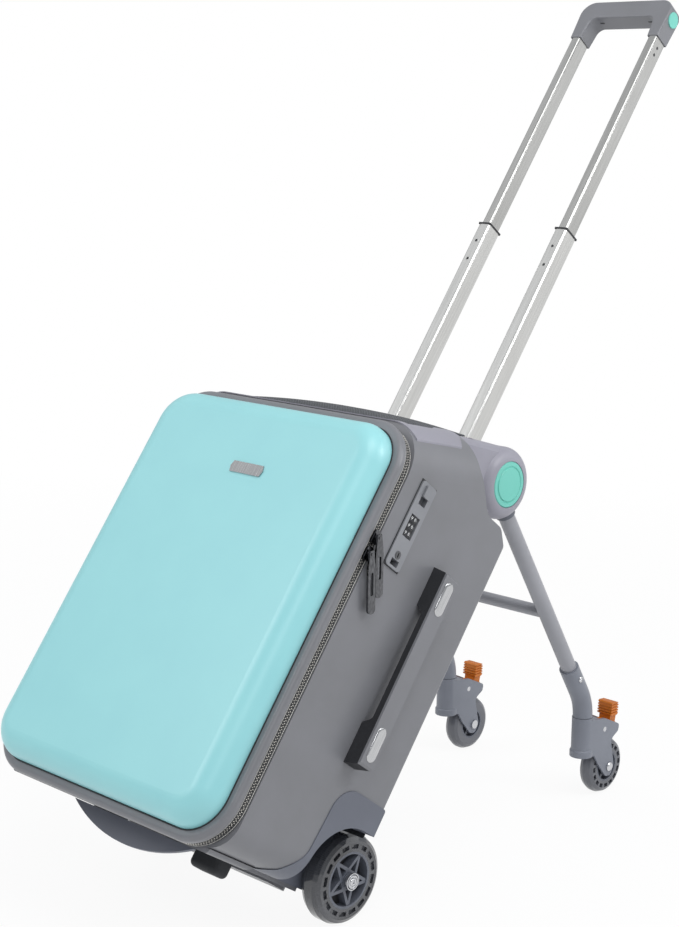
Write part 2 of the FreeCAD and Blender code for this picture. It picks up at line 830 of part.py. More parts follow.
def top_housing():
    """Hinge housing across the top of the back: wedge on the notch, barrel with a bore at each end."""
    axis = ("barrel_back", "barrel_up")
    barrel = rod("barrel", "barrel_radius", ("-barrel_half", *axis), "2 * barrel_half", "x")
    barrel = rounded("barrel_ends", barrel, "barrel_round", lambda edge: edge.Closed)
    start = point("0", "notch_start + 3", top_at("notch_start + 3"))
    run = point("0", "barrel_back", "barrel_up") - start
    slope = math.asin(value("barrel_radius") / run.Length) + math.atan2(run.z, run.y)
    wedge = prism(
        "housing_wedge",
        "side",
        [
            ("notch_start + 3", top_at("notch_start + 3")),
            ("notch_start + 3", f"{top_at('notch_start + 3')} - 2"),
            ("notch_mid - 8", "notch_floor + 32.5"),
            ("notch_mid + 28", "notch_floor + 0.5"),
            ("case_depth - 20", "notch_floor + 0.5"),
            ("barrel_back - 6", "barrel_up - barrel_radius + 1"),
            ("barrel_back", "barrel_up"),
            (
                f"barrel_back - barrel_radius * {math.sin(slope):.6f}",
                f"barrel_up + barrel_radius * {math.cos(slope):.6f} - 0.5",
            ),
        ],
        "-barrel_half + 6",
        "barrel_half - 6",
        {3: "20"},
    )
    limit = moved(
        prism(
            "wedge_limit",
            "front",
            [
                ("-barrel_half", f"-{FAR}"),
                ("barrel_half", f"-{FAR}"),
                ("barrel_half", "0"),
                ("-barrel_half", "0"),
            ],
            f"-{FAR}",
            FAR,
            {2: "wedge_round", 3: "wedge_round"},
        ),
        Placement(start, Rotation(X_AXIS, math.degrees(slope))),
    )
    shape = fuse("top_housing", barrel, common("wedge_round", wedge, limit))
    tools = []
    for side in (-1, 1):
        tools.append(
            box(
                f"sleeve_room_{side}",
                (
                    f"{side} * tube_spread - sleeve_wide / 2",
                    "tube_back - sleeve_deep / 2",
                    "notch_floor - 40",
                ),
                (
                    f"{side} * tube_spread + sleeve_wide / 2",
                    "tube_back + sleeve_deep / 2",
                    "barrel_up + 60",
                ),
            )
        )
    bore = rod("drum_bore", "bore_radius", ("bore_inner", *axis), "bore_outer - bore_inner", "x")
    door = rod("button_bore", "button_radius + button_clear", ("bore_inner", *axis), "100", "x")
    pin = rod("pivot_bore", "pivot_radius", (PIVOT_START, *axis), "60", "x")
    # The slot runs from the unfolded to the folded leg; angles are counted from straight down the case.
    open_angle = value("case_lean + leg_angle")
    side_play = math.degrees(math.asin(value("(collar_radius + 0.6) / bore_radius")))
    slot = DOC.addObject("Part::Cylinder", "leg_slot")
    slot.setExpression("Radius", bound("barrel_radius + 20"))
    slot.setExpression("Height", bound("2 * collar_radius + 1.2"))
    slot.Angle = value("leg_fold") + 2 * side_play
    start = Rotation(X_AXIS, 180 + open_angle + side_play - slot.Angle.Value)
    place = point("leg_spread - collar_radius - 0.6", *axis)
    lying = Rotation(Y_AXIS, 90).multiply(Rotation(Vector(0, 0, 1), 180))
    slot.Placement = Placement(place, start.multiply(lying))
    core = rod("slot_core", "pivot_radius", ("bore_inner", *axis), "100", "x")
    right = [bore, door, pin, cut("leg_slot_ring", slot, core)]
    left = [mirrored(f"left_tool_{index}", tool) for index, tool in enumerate(right)]
    return cut("top_housing_bores", shape, *tools, *right, *left, pad_room("housing_recess"))


def seat_trim():
    """Skin over the shoulders around the pad."""
    region = moved(
        prism(
            "trim_region",
            "plan",
            [
                ("-trim_half", "trim_start"),
                ("trim_half", "trim_start"),
                ("trim_half", "trim_end - 12"),
                ("trim_half - 16", "trim_end"),
                ("-trim_half + 16", "trim_end"),
                ("-trim_half", "trim_end - 12"),
            ],
            "-60",
            "60",
        ),
        SEAT,
    )
    skin = cut("trim_skin", shoulder("trim_outer", "trim_thick"), shoulder("trim_inner", "0"))
    return cut("seat_trim", common("trim_band", skin, region), pad_room("trim_window"))


def seat_pad():
    """Crowned pad: a loft through arched sections whose sides draw in towards the ends."""
    low = value("-pad_sink + soft_clear")
    start = value("pad_start + soft_clear")
    end = value("pad_end - soft_clear")
    half = value("pad_half - soft_clear")
    rear = value("pad_rear_half - soft_clear")
    neck = value("pad_neck")
    taper = value("pad_taper")
    edge = value("pad_edge")
    crown = value("pad_crown")
    draw = value("pad_draw")
    wires = []
    steps = 16
    for index in range(steps + 1):
        share = index / steps
        # Rises steeply from the ends and stays nearly level over the middle
        swell = (1 - abs(2 * share - 1) ** 3) ** 0.5
        depth = start + (end - start) * share
        narrow = min(1, max(0, (depth - neck + taper) / taper))
        reach = half + (rear - half) * narrow - draw * (1 - swell)
        side_top = edge * (0.2 + 0.8 * swell)
        top = side_top + (crown - edge) * swell + 0.4
        corner_a = Vector(-reach, depth, low)
        corner_b = Vector(reach, depth, low)
        corner_c = Vector(reach, depth, side_top)
        corner_d = Vector(-reach, depth, side_top)
        wires.append(
            Part.Wire(
                [
                    Part.LineSegment(corner_a, corner_b).toShape(),
                    Part.LineSegment(corner_b, corner_c).toShape(),
                    Part.Arc(corner_c, Vector(0, depth, top), corner_d).toShape(),
                    Part.LineSegment(corner_d, corner_a).toShape(),
                ]
            )
        )
    piece = DOC.addObject("Part::Feature", "seat_pad")
    piece.Shape = Part.makeLoft(wires, True, False)
    return piece


def guide_sleeves():
    pieces = []
    for side in (-1, 1):
        low = (
            f"{side} * tube_spread - sleeve_wide / 2",
            "tube_back - sleeve_deep / 2",
            "sleeve_foot",
        )
        high = (
            f"{side} * tube_spread + sleeve_wide / 2",
            "tube_back + sleeve_deep / 2",
            "barrel_up + barrel_radius - 6",
        )
        room = "lower_wide / 2 + tube_clear"
        deep = "lower_deep / 2 + tube_clear"
        hole = box(
            f"sleeve_hole_{side}",
            (f"{side} * tube_spread - ({room})", f"tube_back - ({deep})", "0"),
            (f"{side} * tube_spread + {room}", f"tube_back + {deep}", "barrel_up + 100"),
        )
        pieces.append(cut(f"guide_sleeve_{side}", box(f"guide_sleeve_{side}", low, high), hole))
    return group("guide_sleeves", *pieces)


def trolley_cover():
    """Channel cover on the back of the case that hides the handle's sleeves."""
    inner = CHANNEL_FRONT
    outer = "tube_back + sleeve_deep / 2"
    top = "notch_floor - 2"
    shell = prism(
        "cover_outer",
        "plan",
        [
            ("-cover_half", inner),
            ("cover_half", inner),
            ("cover_half", f"{outer} + cover_wall"),
            ("-cover_half", f"{outer} + cover_wall"),
        ],
        "0",
        top,
        {2: "cover_round", 3: "cover_round"},
    )
    room = box(
        "cover_room",
        ("-cover_half + cover_wall", f"{inner} - 10", "sleeve_foot"),
        ("cover_half - cover_wall", outer, "notch_floor + 50"),
    )
    return cut("trolley_cover", shell, room)


def telescope(name, wide, deep, end, top, wall):
    """Pair of rectangular tubes at the handle's spread."""
    pieces = []
    for side in (-1, 1):
        tube = box(
            f"{name}_{side}",
            (f"{side} * tube_spread - {wide} / 2", f"tube_back - {deep} / 2", end),
            (f"{side} * tube_spread + {wide} / 2", f"tube_back + {deep} / 2", top),
        )
        tube = rounded(f"{name}_round_{side}", tube, "3", lambda edge: abs(edge.tangentAt(0).z) > 0.99)
        hole = box(
            f"{name}_hole_{side}",
            (f"{side} * tube_spread - {wide} / 2 + {wall}", f"tube_back - {deep} / 2 + {wall}", "0"),
            (f"{side} * tube_spread + {wide} / 2 - {wall}", f"tube_back + {deep} / 2 - {wall}", "2000"),
        )
        pieces.append(cut(f"{name}_{side}", tube, hole))
    return group(name, *pieces)


def collars():
    pieces = []
    for side in (-1, 1):
        wide = "lower_wide / 2 + collar_wall"
        deep = "lower_deep / 2 + collar_wall"
        ring = box(
            f"collar_{side}",
            (f"{side} * tube_spread - ({wide})", f"tube_back - ({deep})", "lower_top - collar_seat"),
            (f"{side} * tube_spread + {wide}", f"tube_back + {deep}", "lower_top - collar_seat + collar_tall"),
        )
        seat = box(
            f"collar_seat_{side}",
            (f"{side} * tube_spread - lower_wide / 2", "tube_back - lower_deep / 2", "0"),
            (f"{side} * tube_spread + lower_wide / 2", "tube_back + lower_deep / 2", "lower_top"),
        )
        way = box(
            f"collar_way_{side}",
            (
                f"{side} * tube_spread - upper_wide / 2 - tube_clear",
                "tube_back - upper_deep / 2 - tube_clear",
                "0",
            ),
            (
                f"{side} * tube_spread + upper_wide / 2 + tube_clear",
                "tube_back + upper_deep / 2 + tube_clear",
                "2000",
            ),
        )
        pieces.append(cut(f"collar_{side}", ring, seat, way))
    return group("tube_collars", *pieces)


def grip():
    """Top grip: a bar across two sockets, rounded all round, with a slot for the button."""
    inner = "tube_spread - upper_wide / 2 - grip_wall"
    bow = prism(
        "grip_bow",
        "front",
        [
            ("-grip_half + grip_flare", "grip_low"),
            (f"-({inner})", "grip_low"),
            (f"-({inner}) + grip_flare", "grip_top - grip_bar"),
            (f"{inner} - grip_flare", "grip_top - grip_bar"),
            (inner, "grip_low"),
            ("grip_half - grip_flare", "grip_low"),
            ("grip_half", "grip_top"),
            ("-grip_half", "grip_top"),
        ],
        "tube_back - grip_deep / 2",
        "tube_back + grip_deep / 2",
        {2: "9", 3: "9", 6: "grip_corner", 7: "grip_corner"},
    )
    bow = rounded("grip_soft", bow, "grip_soft", grip_front_edge)
    tools = []
    for side in (-1, 1):
        tools.append(
            box(
                f"grip_socket_{side}",
                (f"{side} * tube_spread - upper_wide / 2", "tube_back - upper_deep / 2", "0"),
                (f"{side} * tube_spread + upper_wide / 2", "tube_back + upper_deep / 2", "grip_top - 12"),
            )
        )
    room = box(
        "grip_button_room",
        ("-16.3", "tube_back - 6.3", "grip_top - 9"),
        ("16.3", "tube_back + 6.3", "grip_top + 10"),
    )
    cap = rod("cap_room", "cap_radius", CAP_SEAT, "20", "x")
    return cut("grip", bow, *tools, room, cap, mirrored("cap_room_left", cap))


def grip_front_edge(edge):
    """Edges that bound the grip's front and back faces."""
    depths = {round(vertex.Point.y, 3) for vertex in edge.Vertexes}
    return len(depths) == 1


def grip_caps():
    right = rod("grip_cap_right", "cap_radius", CAP_SEAT, "cap_deep - 0.4", "x")
    limit = box("cap_limit", ("0", "0", "0"), ("grip_half - 0.4", "400", "2000"))
    right = common("grip_cap_shape", right, limit)
    return group("grip_caps", right, mirrored("grip_cap_left", right))


def grip_button():
    button = box(
        "grip_button_block",
        ("-16", "tube_back - 6", "grip_top - 4.5"),
        ("16", "tube_back + 6", "grip_top + 2.5"),
    )
    upper = value("grip_top + 2")
    return rounded("grip_button_soft", button, "1.5", lambda edge: edge.CenterOfMass.z > upper)


def leg_tubes():
    low = ("leg_spread", "0", f"-({SLEEVE_START}) - sleeve_lap")
    outer = rod("leg_outer", "leg_radius", low, f"{SLEEVE_START} + sleeve_lap - drum_lap", "z")
    inner = rod("leg_inner", "leg_radius - leg_wall", ("leg_spread", "0", "-600"), "600", "z")
    right = cut("leg_tube", outer, inner)
    return group("leg_tubes", right, mirrored("leg_tube_left", right))


def leg_drums():
    """Drum inside the barrel with the collar that holds the leg tube."""
    drum = rod(
        "drum",
        "bore_radius - drum_clear",
        ("bore_inner + drum_clear", "0", "0"),
        "bore_outer - bore_inner - drum_clear - button_press - 1.5",
        "x",
    )
    low = ("leg_spread", "0", "-collar_reach")
    socket = rod("drum_socket", "collar_radius", low, "collar_reach - 10", "z")
    tube_room = rod("drum_tube_room", "leg_radius", ("leg_spread", "0", "-100"), "100 - drum_lap", "z")
    pin = rod("drum_pin_room", "pivot_radius + run_clear", ("0", "0", "0"), "200", "x")
    right = cut("leg_drum", fuse("leg_drum", drum, socket), tube_room, pin)
    return group("leg_drums", right, mirrored("leg_drum_left", right))


def pivot_pins():
    length = f"bore_outer - button_press - 2 - ({PIVOT_START})"
    right = rod("pivot_pin", "pivot_radius", (PIVOT_START, "barrel_back", "barrel_up"), length, "x")
    return group("pivot_pins", right, mirrored("pivot_pin_left", right))


def crossbar():
    start = ("-leg_spread", "0", f"crossbar_lift - {LEG_REACH}")
    bar = rod("crossbar_rod", "crossbar_radius", start, "2 * leg_spread", "x")
    right = rod("crossbar_room", "leg_radius", ("leg_spread", "0", "-600"), "600", "z")
    return cut("crossbar", bar, right, mirrored("crossbar_room_left", right))


def elbows():
    """Sleeve on each leg that bends into the upright swivel socket."""
    down = Rotation(X_AXIS, value("leg_angle")).multVec(Vector(0, 0, -1))
    centre = Vector(value("leg_spread"), BARREL.y, BARREL.z)
    top = centre + down * value(SLEEVE_START)
    corner = Vector(centre.x, SWIVEL_Y, CORNER_Z)
    arc_start = corner - down * BEND_RUN
    arc_end = corner - Vector(0, 0, BEND_RUN)
    chord = (arc_start + arc_end) * 0.5
    inward = (chord - corner).normalize()
    bend = value("elbow_bend")
    hub_far = bend / math.cos(math.radians(value("leg_angle") / 2))
    middle = corner + inward * (hub_far - bend)
    path = Part.Wire(
        [
            Part.LineSegment(top, arc_start).toShape(),
            Part.Arc(arc_start, middle, arc_end).toShape(),
        ]
    )
    ring = Part.Wire([Part.Circle(top, down, value("sleeve_radius")).toShape()])
    solid = path.makePipeShell([ring], True, False)
    tube_room = Part.makeCylinder(value("leg_radius"), value("sleeve_lap"), top, down)
    pin_room = Part.makeCylinder(
        value("swivel_pin + run_clear"), value("sleeve_radius * 2"), arc_end, Vector(0, 0, 1)
    )
    right = DOC.addObject("Part::Feature", "elbow")
    right.Shape = solid.cut(tube_room).cut(pin_room)
    return group("elbows", right, mirrored("elbow_left", right))


def caster_fork():
    """Round swivel stem with its pin, a hood, two side plates and a short tail, drawn about the swivel axis."""
    hood = rod("stem_hood", "hood_radius", ("0", "0", "stem_low - 4"), "hood_tall", "z")
    hood = rounded("hood_soft", hood, "3", lambda edge: edge.CenterOfMass.z > value("stem_low"))
    stem = rod("stem", "stem_radius", ("0", "0", "stem_low"), "stem_top - stem_low - swivel_gap", "z")
    pin = rod("swivel_pin_rod", "swivel_pin", ("0", "0", "stem_top - 10"), "10 + sleeve_radius * 2 - 3", "z")
    plate = prism(
        "fork_side",
        "side",
        [
            ("0", "stem_low - 4"),
            ("0", "stem_top - 3"),
            ("caster_trail - 10", "stem_top - 7"),
            ("caster_trail + 18", "stem_top - 20"),
            ("caster_trail + 16", "stem_top - 28"),
            ("caster_trail + 2", "stem_top - 36"),
            ("caster_trail + 10", "caster_radius"),
            ("caster_trail + 4", "caster_radius - 12"),
            ("caster_trail - 6", "caster_radius - 11"),
            ("caster_trail - 22", "caster_radius + 8"),
            ("10", "stem_low - 4"),
        ],
        "-fork_gap / 2 - fork_plate",
        "fork_gap / 2 + fork_plate",
        {3: "4", 4: "3", 5: "8", 6: "9", 7: "6", 8: "6"},
    )
    room = box(
        "fork_room",
        ("-fork_gap / 2", "stem_radius * 0.4", "-20"),
        ("fork_gap / 2", "200", "stem_top - 24"),
    )
    lever_room = box(
        "lever_room",
        ("-lever_width / 2 - 0.6", "caster_trail - 18", "stem_top - 60"),
        ("lever_width / 2 + 0.6", "200", "stem_top + 20"),
    )
    wheel_room = rod(
        "wheel_room", "caster_radius + 3", ("-fork_gap / 2", "caster_trail", "caster_radius"), "fork_gap", "x"
    )
    axle_hole = rod("caster_hole", "caster_axle", ("-50", "caster_trail", "caster_radius"), "100", "x")
    pivot_hole = rod("lever_hole", "lever_pin", ("-50", *LEVER_PIVOT), "100", "x")
    frame = cut("fork_frame", plate, room, lever_room)
    shape = fuse("caster_fork", frame, stem, hood, pin)
    return cut("caster_fork_holes", shape, wheel_room, axle_hole, pivot_hole)


def caster_pins():
    """Axle bolt and brake pivot of one caster."""
    half = "fork_gap / 2 + fork_plate"
    head = "caster_head"
    axle = turned(
        "caster_bolt",
        [
            (f"-({half}) - 2.5", "0"),
            (f"{half} + 2.5", "0"),
            (f"{half} + 2.5", f"{head} - 1"),
            (f"{half} + 1.5", head),
            (half, head),
            (half, "caster_axle"),
            (f"-({half})", "caster_axle"),
            (f"-({half})", head),
            (f"-({half}) - 2.5", head),
        ],
    )
    axle.Placement.Base = point("0", "caster_trail", "caster_radius")
    pivot = rod("lever_rod", "lever_pin", (f"-({half})", *LEVER_PIVOT), f"2 * ({half})", "x")
    return group("caster_pins", axle, pivot)


def caster_hub():
    """Spoked hub of a small wheel."""
    half = "caster_width / 2"
    ring = turned(
        "caster_ring",
        [
            (f"-({half})", "caster_hub - 2.2"),
            (half, "caster_hub - 2.2"),
            (half, "caster_hub"),
            (f"-({half})", "caster_hub"),
        ],
    )
    web = turned(
        "caster_web",
        [("-1.5", "6"), ("1.5", "6"), ("1.5", "caster_hub - 2"), ("-1.5", "caster_hub - 2")],
    )
    boss = turned(
        "caster_boss",
        [
            ("-fork_gap / 2 + 0.4", "caster_axle + run_clear"),
            ("fork_gap / 2 - 0.4", "caster_axle + run_clear"),
            ("fork_gap / 2 - 0.4", "7"),
            ("-fork_gap / 2 + 0.4", "7"),
        ],
    )
    spokes = []
    for index in range(5):
        spoke = DOC.addObject("Part::Box", f"caster_spoke_{index}")
        spoke.setExpression("Length", bound("caster_width - 4"))
        spoke.setExpression("Width", bound("3"))
        spoke.setExpression("Height", bound("caster_hub - 7"))
        turn = Rotation(X_AXIS, 72 * index)
        corner = Vector(-value("caster_width / 2 - 2"), -1.5, 6)
        spoke.Placement = Placement(turn.multVec(corner), turn)
        spokes.append(spoke)
    return fuse("caster_hub", ring, web, boss, *spokes)


def brake_lever():
    """Ridged tab above the fork, with an arm down to its pivot and a shoe above the wheel."""
    arm = prism(
        "lever_arm",
        "side",
        [
            ("caster_trail - 16", "stem_top - 26"),
            ("caster_trail + 13", "stem_top - 31"),
            ("caster_trail + 16", "stem_top - 18"),
            ("caster_trail + 4", "stem_top - 13"),
            ("caster_trail - 16", "stem_top - 14"),
        ],
        "-lever_width / 2",
        "lever_width / 2",
        {0: "4", 4: "4"},
    )
    tab = prism(
        "lever_tab",
        "side",
        [
            ("caster_trail + 4", "stem_top - 18"),
            ("caster_trail + 14", "stem_top - 20"),
            ("caster_trail + 17", "stem_top - 6"),
            ("caster_trail + 17", "stem_top + 5"),
            ("caster_trail + 6", "stem_top + 7"),
        ],
        "-lever_width / 2",
        "lever_width / 2",
        {3: "3", 4: "2"},
    )
    hole = rod("lever_bore", "lever_pin + run_clear", ("-50", *LEVER_PIVOT), "100", "x")
    paddle = prism(
        "lever_paddle",
        "side",
        [
            ("caster_trail + 3", "stem_top - 8"),
            ("caster_trail + 17", "stem_top - 9"),
            ("caster_trail + 18", "stem_top + 7"),
            ("caster_trail + 5", "stem_top + 8"),
        ],
        "-paddle_width / 2",
        "paddle_width / 2",
        {0: "2", 1: "3", 2: "3", 3: "2"},
    )
    grooves = []
    for index in range(4):
        high = f"stem_top + 5.5 - {index} * groove_pitch"
        ring = box(
            f"groove_ring_{index}",
            ("-paddle_width", "caster_trail - 3", f"{high} - groove_wide"),
            ("paddle_width", "caster_trail + 30", high),
        )
        core = box(
            f"groove_core_{index}",
            ("-paddle_width / 2 + groove_deep", "caster_trail + 4 + groove_deep", f"{high} - groove_wide"),
            ("paddle_width / 2 - groove_deep", "caster_trail + 17.5 - groove_deep", high),
        )
        grooves.append(cut(f"lever_groove_{index}", ring, core))
    shape = fuse("brake_lever", arm, tab, paddle)
    return cut("brake_lever_grooves", shape, hole, *grooves)


def front_panel():
    """Bulged front shell with a soft edge all round."""

    def bulge(name, inset, depth, edge):
        half = f"panel_width / 2 - panel_gap - ({inset})"
        low = f"panel_gap + ({inset})"
        high = f"panel_height - panel_gap - ({inset})"
        corner = f"panel_corner - panel_gap - ({inset})"
        block = prism(
            name,
            "front",
            [(f"-({half})", low), (half, low), (half, high), (f"-({half})", high)],
            f"-({depth})",
            "rim_depth - 3",
            {0: corner, 1: corner, 2: corner, 3: corner},
        )
        DOC.recompute()
        face = value(f"-({depth})")
        return rounded(
            name + "_soft",
            block,
            edge,
            lambda edge: all(abs(vertex.Point.y - face) < 1e-6 for vertex in edge.Vertexes),
        )

    outer = bulge("panel_outer", "0", "panel_bulge", "panel_edge_round")
    inner = bulge("panel_inner", "panel_wall", "panel_bulge - panel_wall", "panel_edge_round - panel_wall")
    opening = box(
        "panel_back",
        ("-panel_width / 2 + 12", "rim_depth - 4", "12"),
        ("panel_width / 2 - 12", "rim_depth + 5", "panel_height - 12"),
    )
    return cut("front_panel", outer, inner, opening)


def ring_body(name, outset, inset, start, end):
    """Rounded frame around the front panel; outset and inset are counted from the panel's edge."""
    outer = panel_slab(name + "_outer", outset, start, end)
    inner = panel_slab(name + "_inner", inset, f"{start} - 50", f"{end} + 50")
    return outer, inner


def lid_rim():
    """Gray frame around the panel with a rounded front edge and a back lip behind the panel."""
    outer, inner = ring_body("rim", "rim_width", "0", "-1", "rim_depth - 1")
    outer = rounded(
        "rim_soft",
        outer,
        "rim_round",
        lambda edge: all(abs(vertex.Point.y + 1) < 1e-6 for vertex in edge.Vertexes),
    )
    lip_outer, lip_inner = ring_body("rim_lip", "0", "-12", "rim_depth - 3", "rim_depth - 1")
    return fuse("lid_rim", cut("lid_rim", outer, inner), cut("rim_lip", lip_outer, lip_inner))


def zip_tape(name, start, end):
    outer, inner = ring_body(name, "rim_width - zip_inset", ZIP_INNER, start, end)
    return cut(name, outer, inner)


def badge_plate():
    """Bare nickel plate with angled ends."""
    front = "-panel_bulge"
    left = "badge_mid - badge_half"
    right = "badge_mid + badge_half"
    low = "badge_up - badge_tall / 2"
    high = "badge_up + badge_tall / 2"
    return prism(
        "badge_shape",
        "front",
        [
            (f"{left} + 2", low),
            (f"{right} - 2", low),
            (right, "badge_up"),
            (f"{right} - 2", high),
            (f"{left} + 2", high),
            (left, "badge_up"),
        ],
        f"{front} - 1.2",
        front,
    )


def lock_plate():
    """Lock body in the side wall behind a thin face plate."""
    low = "lock_mid - lock_wide / 2"
    high = "lock_mid + lock_wide / 2"
    face = prism(
        "lock_face",
        "side",
        [(low, "lock_low"), (high, "lock_low"), (high, "lock_high"), (low, "lock_high")],
        SIDE,
        f"{SIDE} + lock_thick",
        {0: "4", 1: "4", 2: "4", 3: "4"},
    )
    block = box(
        "lock_block",
        (f"{SIDE} - 14", f"{low} + 2.2", "lock_low + 2.2"),
        (f"{SIDE}", f"{high} - 2.2", "lock_high - 2.2"),
    )
    dials = "3 * digit_wide + 4 * digit_gap"
    digits = box(
        "digit_room",
        (f"{SIDE} - 13", "lock_mid - digit_radius - 0.6", "lock_low + digit_up"),
        (f"{SIDE} + 10", "lock_mid + digit_radius + 0.6", f"lock_low + digit_up + {dials}"),
    )
    key = rod("key_room", "key_radius", (f"{SIDE} - 12", "lock_mid", "lock_low + key_up"), "40", "x")
    slider = box(
        "slider_room",
        (f"{SIDE} - 4", "lock_mid - 5.4", "lock_low + 68"),
        (f"{SIDE} + 10", "lock_mid + 5.4", "lock_low + 88"),
    )
    slot = box(
        "pull_slot",
        (f"{SIDE} - 8", "lock_mid - 6", "lock_low + 2.6"),
        (f"{SIDE} + 10", "lock_mid + 6", "lock_low + 9"),
    )
    axle = rod(
        "digit_axle",
        "digit_axle",
        (DIAL_AXIS, "lock_mid", "lock_low + digit_up - 3"),
        f"6 + {dials}",
        "z",
    )
    case = fuse("lock_case", face, block)
    return fuse("lock_plate", cut("lock_plate", case, digits, key, slider, slot), axle)


def digit_wheel(index):
    start = ("0", "0", f"lock_low + digit_up + digit_gap + {index} * (digit_wide + digit_gap)")
    wheel = rod(f"digit_{index}", "digit_radius", start, "digit_wide", "z")
    hole = rod(f"digit_hole_{index}", "digit_axle + run_clear", ("0", "0", "0"), "900", "z")
    shift = Placement(point(DIAL_AXIS, "lock_mid", "0"), Rotation())
    return cut(f"digit_wheel_{index}", moved(wheel, shift), moved(hole, shift))


def lock_slider():
    knob = box(
        "slider_knob",
        (f"{SIDE} + lock_thick + 0.2", "lock_mid - 5", "lock_low + 76"),
        (f"{SIDE} + lock_thick + 2.4", "lock_mid + 5", "lock_low + 87.6"),
    )
    foot = box(
        "slider_foot",
        (f"{SIDE} - 3.6", "lock_mid - 5", "lock_low + 78"),
        (f"{SIDE} + lock_thick + 1", "lock_mid + 5", "lock_low + 87.6"),
    )
    return fuse("lock_slider", knob, foot)


def key_cylinder():
    start = (f"{SIDE} - 11.6", "lock_mid", "lock_low + key_up")
    barrel = rod("key_barrel", "key_radius - run_clear", start, "14", "x")
    slit = box(
        "key_slit",
        (f"{SIDE} - 4", "lock_mid - 0.6", "lock_low + key_up - 2.6"),
        (f"{SIDE} + 10", "lock_mid + 0.6", "lock_low + key_up + 2.6"),
    )
    return cut("key_cylinder", barrel, slit)


def side_handle():
    """Carrying handle: two end blocks and a strap between them, one black moulding below its plate."""
    top = f"{SIDE} + handle_out - handle_plate"
    return prism(
        "handle_bow",
        "front",
        [
            (SIDE, "handle_low"),
            (top, "handle_low + 3"),
            (top, "handle_high - 3"),
            (SIDE, "handle_high"),
            (SIDE, "handle_high - handle_block"),
            (f"{top} - handle_strap", "handle_high - handle_block - 6"),
            (f"{top} - handle_strap", "handle_low + handle_block + 6"),
            (SIDE, "handle_low + handle_block"),
        ],
        "handle_mid - handle_wide / 2 + 1",
        "handle_mid + handle_wide / 2 - 1",
        {5: "6", 6: "6"},
    )


def handle_cover():
    """Gray plate along the handle's outer face, with pockets for the inlays."""
    top = f"{SIDE} + handle_out"
    plate = prism(
        "handle_plate_block",
        "front",
        [
            (f"{top} - handle_plate", "handle_low + 3"),
            (top, "handle_low + 5"),
            (top, "handle_high - 5"),
            (f"{top} - handle_plate", "handle_high - 3"),
        ],
        "handle_mid - handle_wide / 2",
        "handle_mid + handle_wide / 2",
        {1: "2", 2: "2"},
    )
    pockets = [cap_room(f"cap_pocket_{end}", end) for end in ("low", "high")]
    return cut("handle_cover_block", plate, *pockets)


def cap_room(name, end):
    """Block that a silver inlay fills, at one end of the handle's outer face."""
    start = {"low": "handle_low + inlay_start", "high": "handle_high - inlay_start - inlay_long"}[end]
    return prism(
        name,
        "side",
        [
            ("handle_mid - inlay_half", start),
            ("handle_mid + inlay_half", start),
            ("handle_mid + inlay_half", f"{start} + inlay_long"),
            ("handle_mid - inlay_half", f"{start} + inlay_long"),
        ],
        f"{SIDE} + handle_out - inlay_deep",
        f"{SIDE} + handle_out + 5",
        {corner: "inlay_half - 0.1" for corner in range(4)},
    )


def handle_inlays():
    limit = box("inlay_limit", (SIDE, "0", "0"), (f"{SIDE} + handle_out + 0.3", "300", "500"))
    pieces = [common(f"inlay_{end}", cap_room(f"inlay_{end}", end), limit) for end in ("low", "high")]
    return group("handle_inlays", *pieces)


def upright(edge):
    """Edges that run up the case."""
    return abs(edge.tangentAt(edge.FirstParameter).z) > 0.99


def lowest(edge):
    """Edges that bound a foot's lower face."""
    return all(abs(vertex.Point.z + value("foot_low")) < 1e-6 for vertex in edge.Vertexes)


def rubber_feet():
    pieces = []
    for side in (-1, 1):
        foot = box(
            f"foot_{side}",
            (f"{side} * foot_mid - foot_wide / 2", "foot_front", "-foot_low"),
            (f"{side} * foot_mid + foot_wide / 2", "foot_front + foot_long", "0"),
        )
        foot = rounded(f"foot_sides_{side}", foot, "foot_round", upright)
        foot = rounded(f"foot_soft_{side}", foot, "foot_round * 0.7", lowest)
        top = moved(box(f"foot_top_{side}", ("-300", "-100", "0"), ("300", "400", "100")), BASE)
        pieces.append(cut(f"rubber_foot_{side}", foot, top))
    return group("rubber_feet", *pieces)


def footrest():
    """D-shaped flap that hangs in front of its hinge pin, with knuckles behind it."""
    half = value("rest_half")
    back = value("rest_back")
    low = value("-rest_down")
    face = value("rest_back - rest_ahead")
    root = value("rest_root - rim_width")
    tip = value("rest_half - rest_tip")
    ear = value("rest_ear + ear_half + rest_slack")
    room = value("rest_ear - ear_half - rest_slack")
    wall = value("rest_wall")
    left = Vector(-half, face, root)
    right = Vector(half, face, root)
    arc = Part.Arc(left, Vector(0, face, value("-rest_drop")), right).toShape()
    chord = Part.LineSegment(right, left).toShape()
    shape = Part.Face(Part.Wire([arc, chord])).extrude(Vector(0, value("rest_thick"), 0))
    spans = [(-tip, -ear), (-room, room), (ear, tip)]
    knuckle = value("rest_pin + rest_wall")
    bridge = back - face - 1
    for begin, finish in spans:
        shape = shape.fuse(Part.makeCylinder(knuckle, finish - begin, Vector(begin, back, low), X_AXIS))
        shape = shape.fuse(Part.makeBox(finish - begin, bridge, 2 * wall, Vector(begin, face + 1, low - wall)))
    skin = value("rest_skin")
    for side in (-1, 1):
        middle = side * value("rest_ear")
        corner = Vector(middle - (ear - room) / 2, face + skin, low - value("rest_eye") - 0.9)
        pocket = Part.makeBox(ear - room, 20, 30, corner)
        shape = shape.cut(pocket)
    pin = Part.makeCylinder(value("rest_pin"), 2 * tip - 2, Vector(1 - tip, back, low), X_AXIS)
    piece = DOC.addObject("Part::Feature", "footrest")
    piece.Shape = shape.fuse(pin).removeSplitter()
    return piece


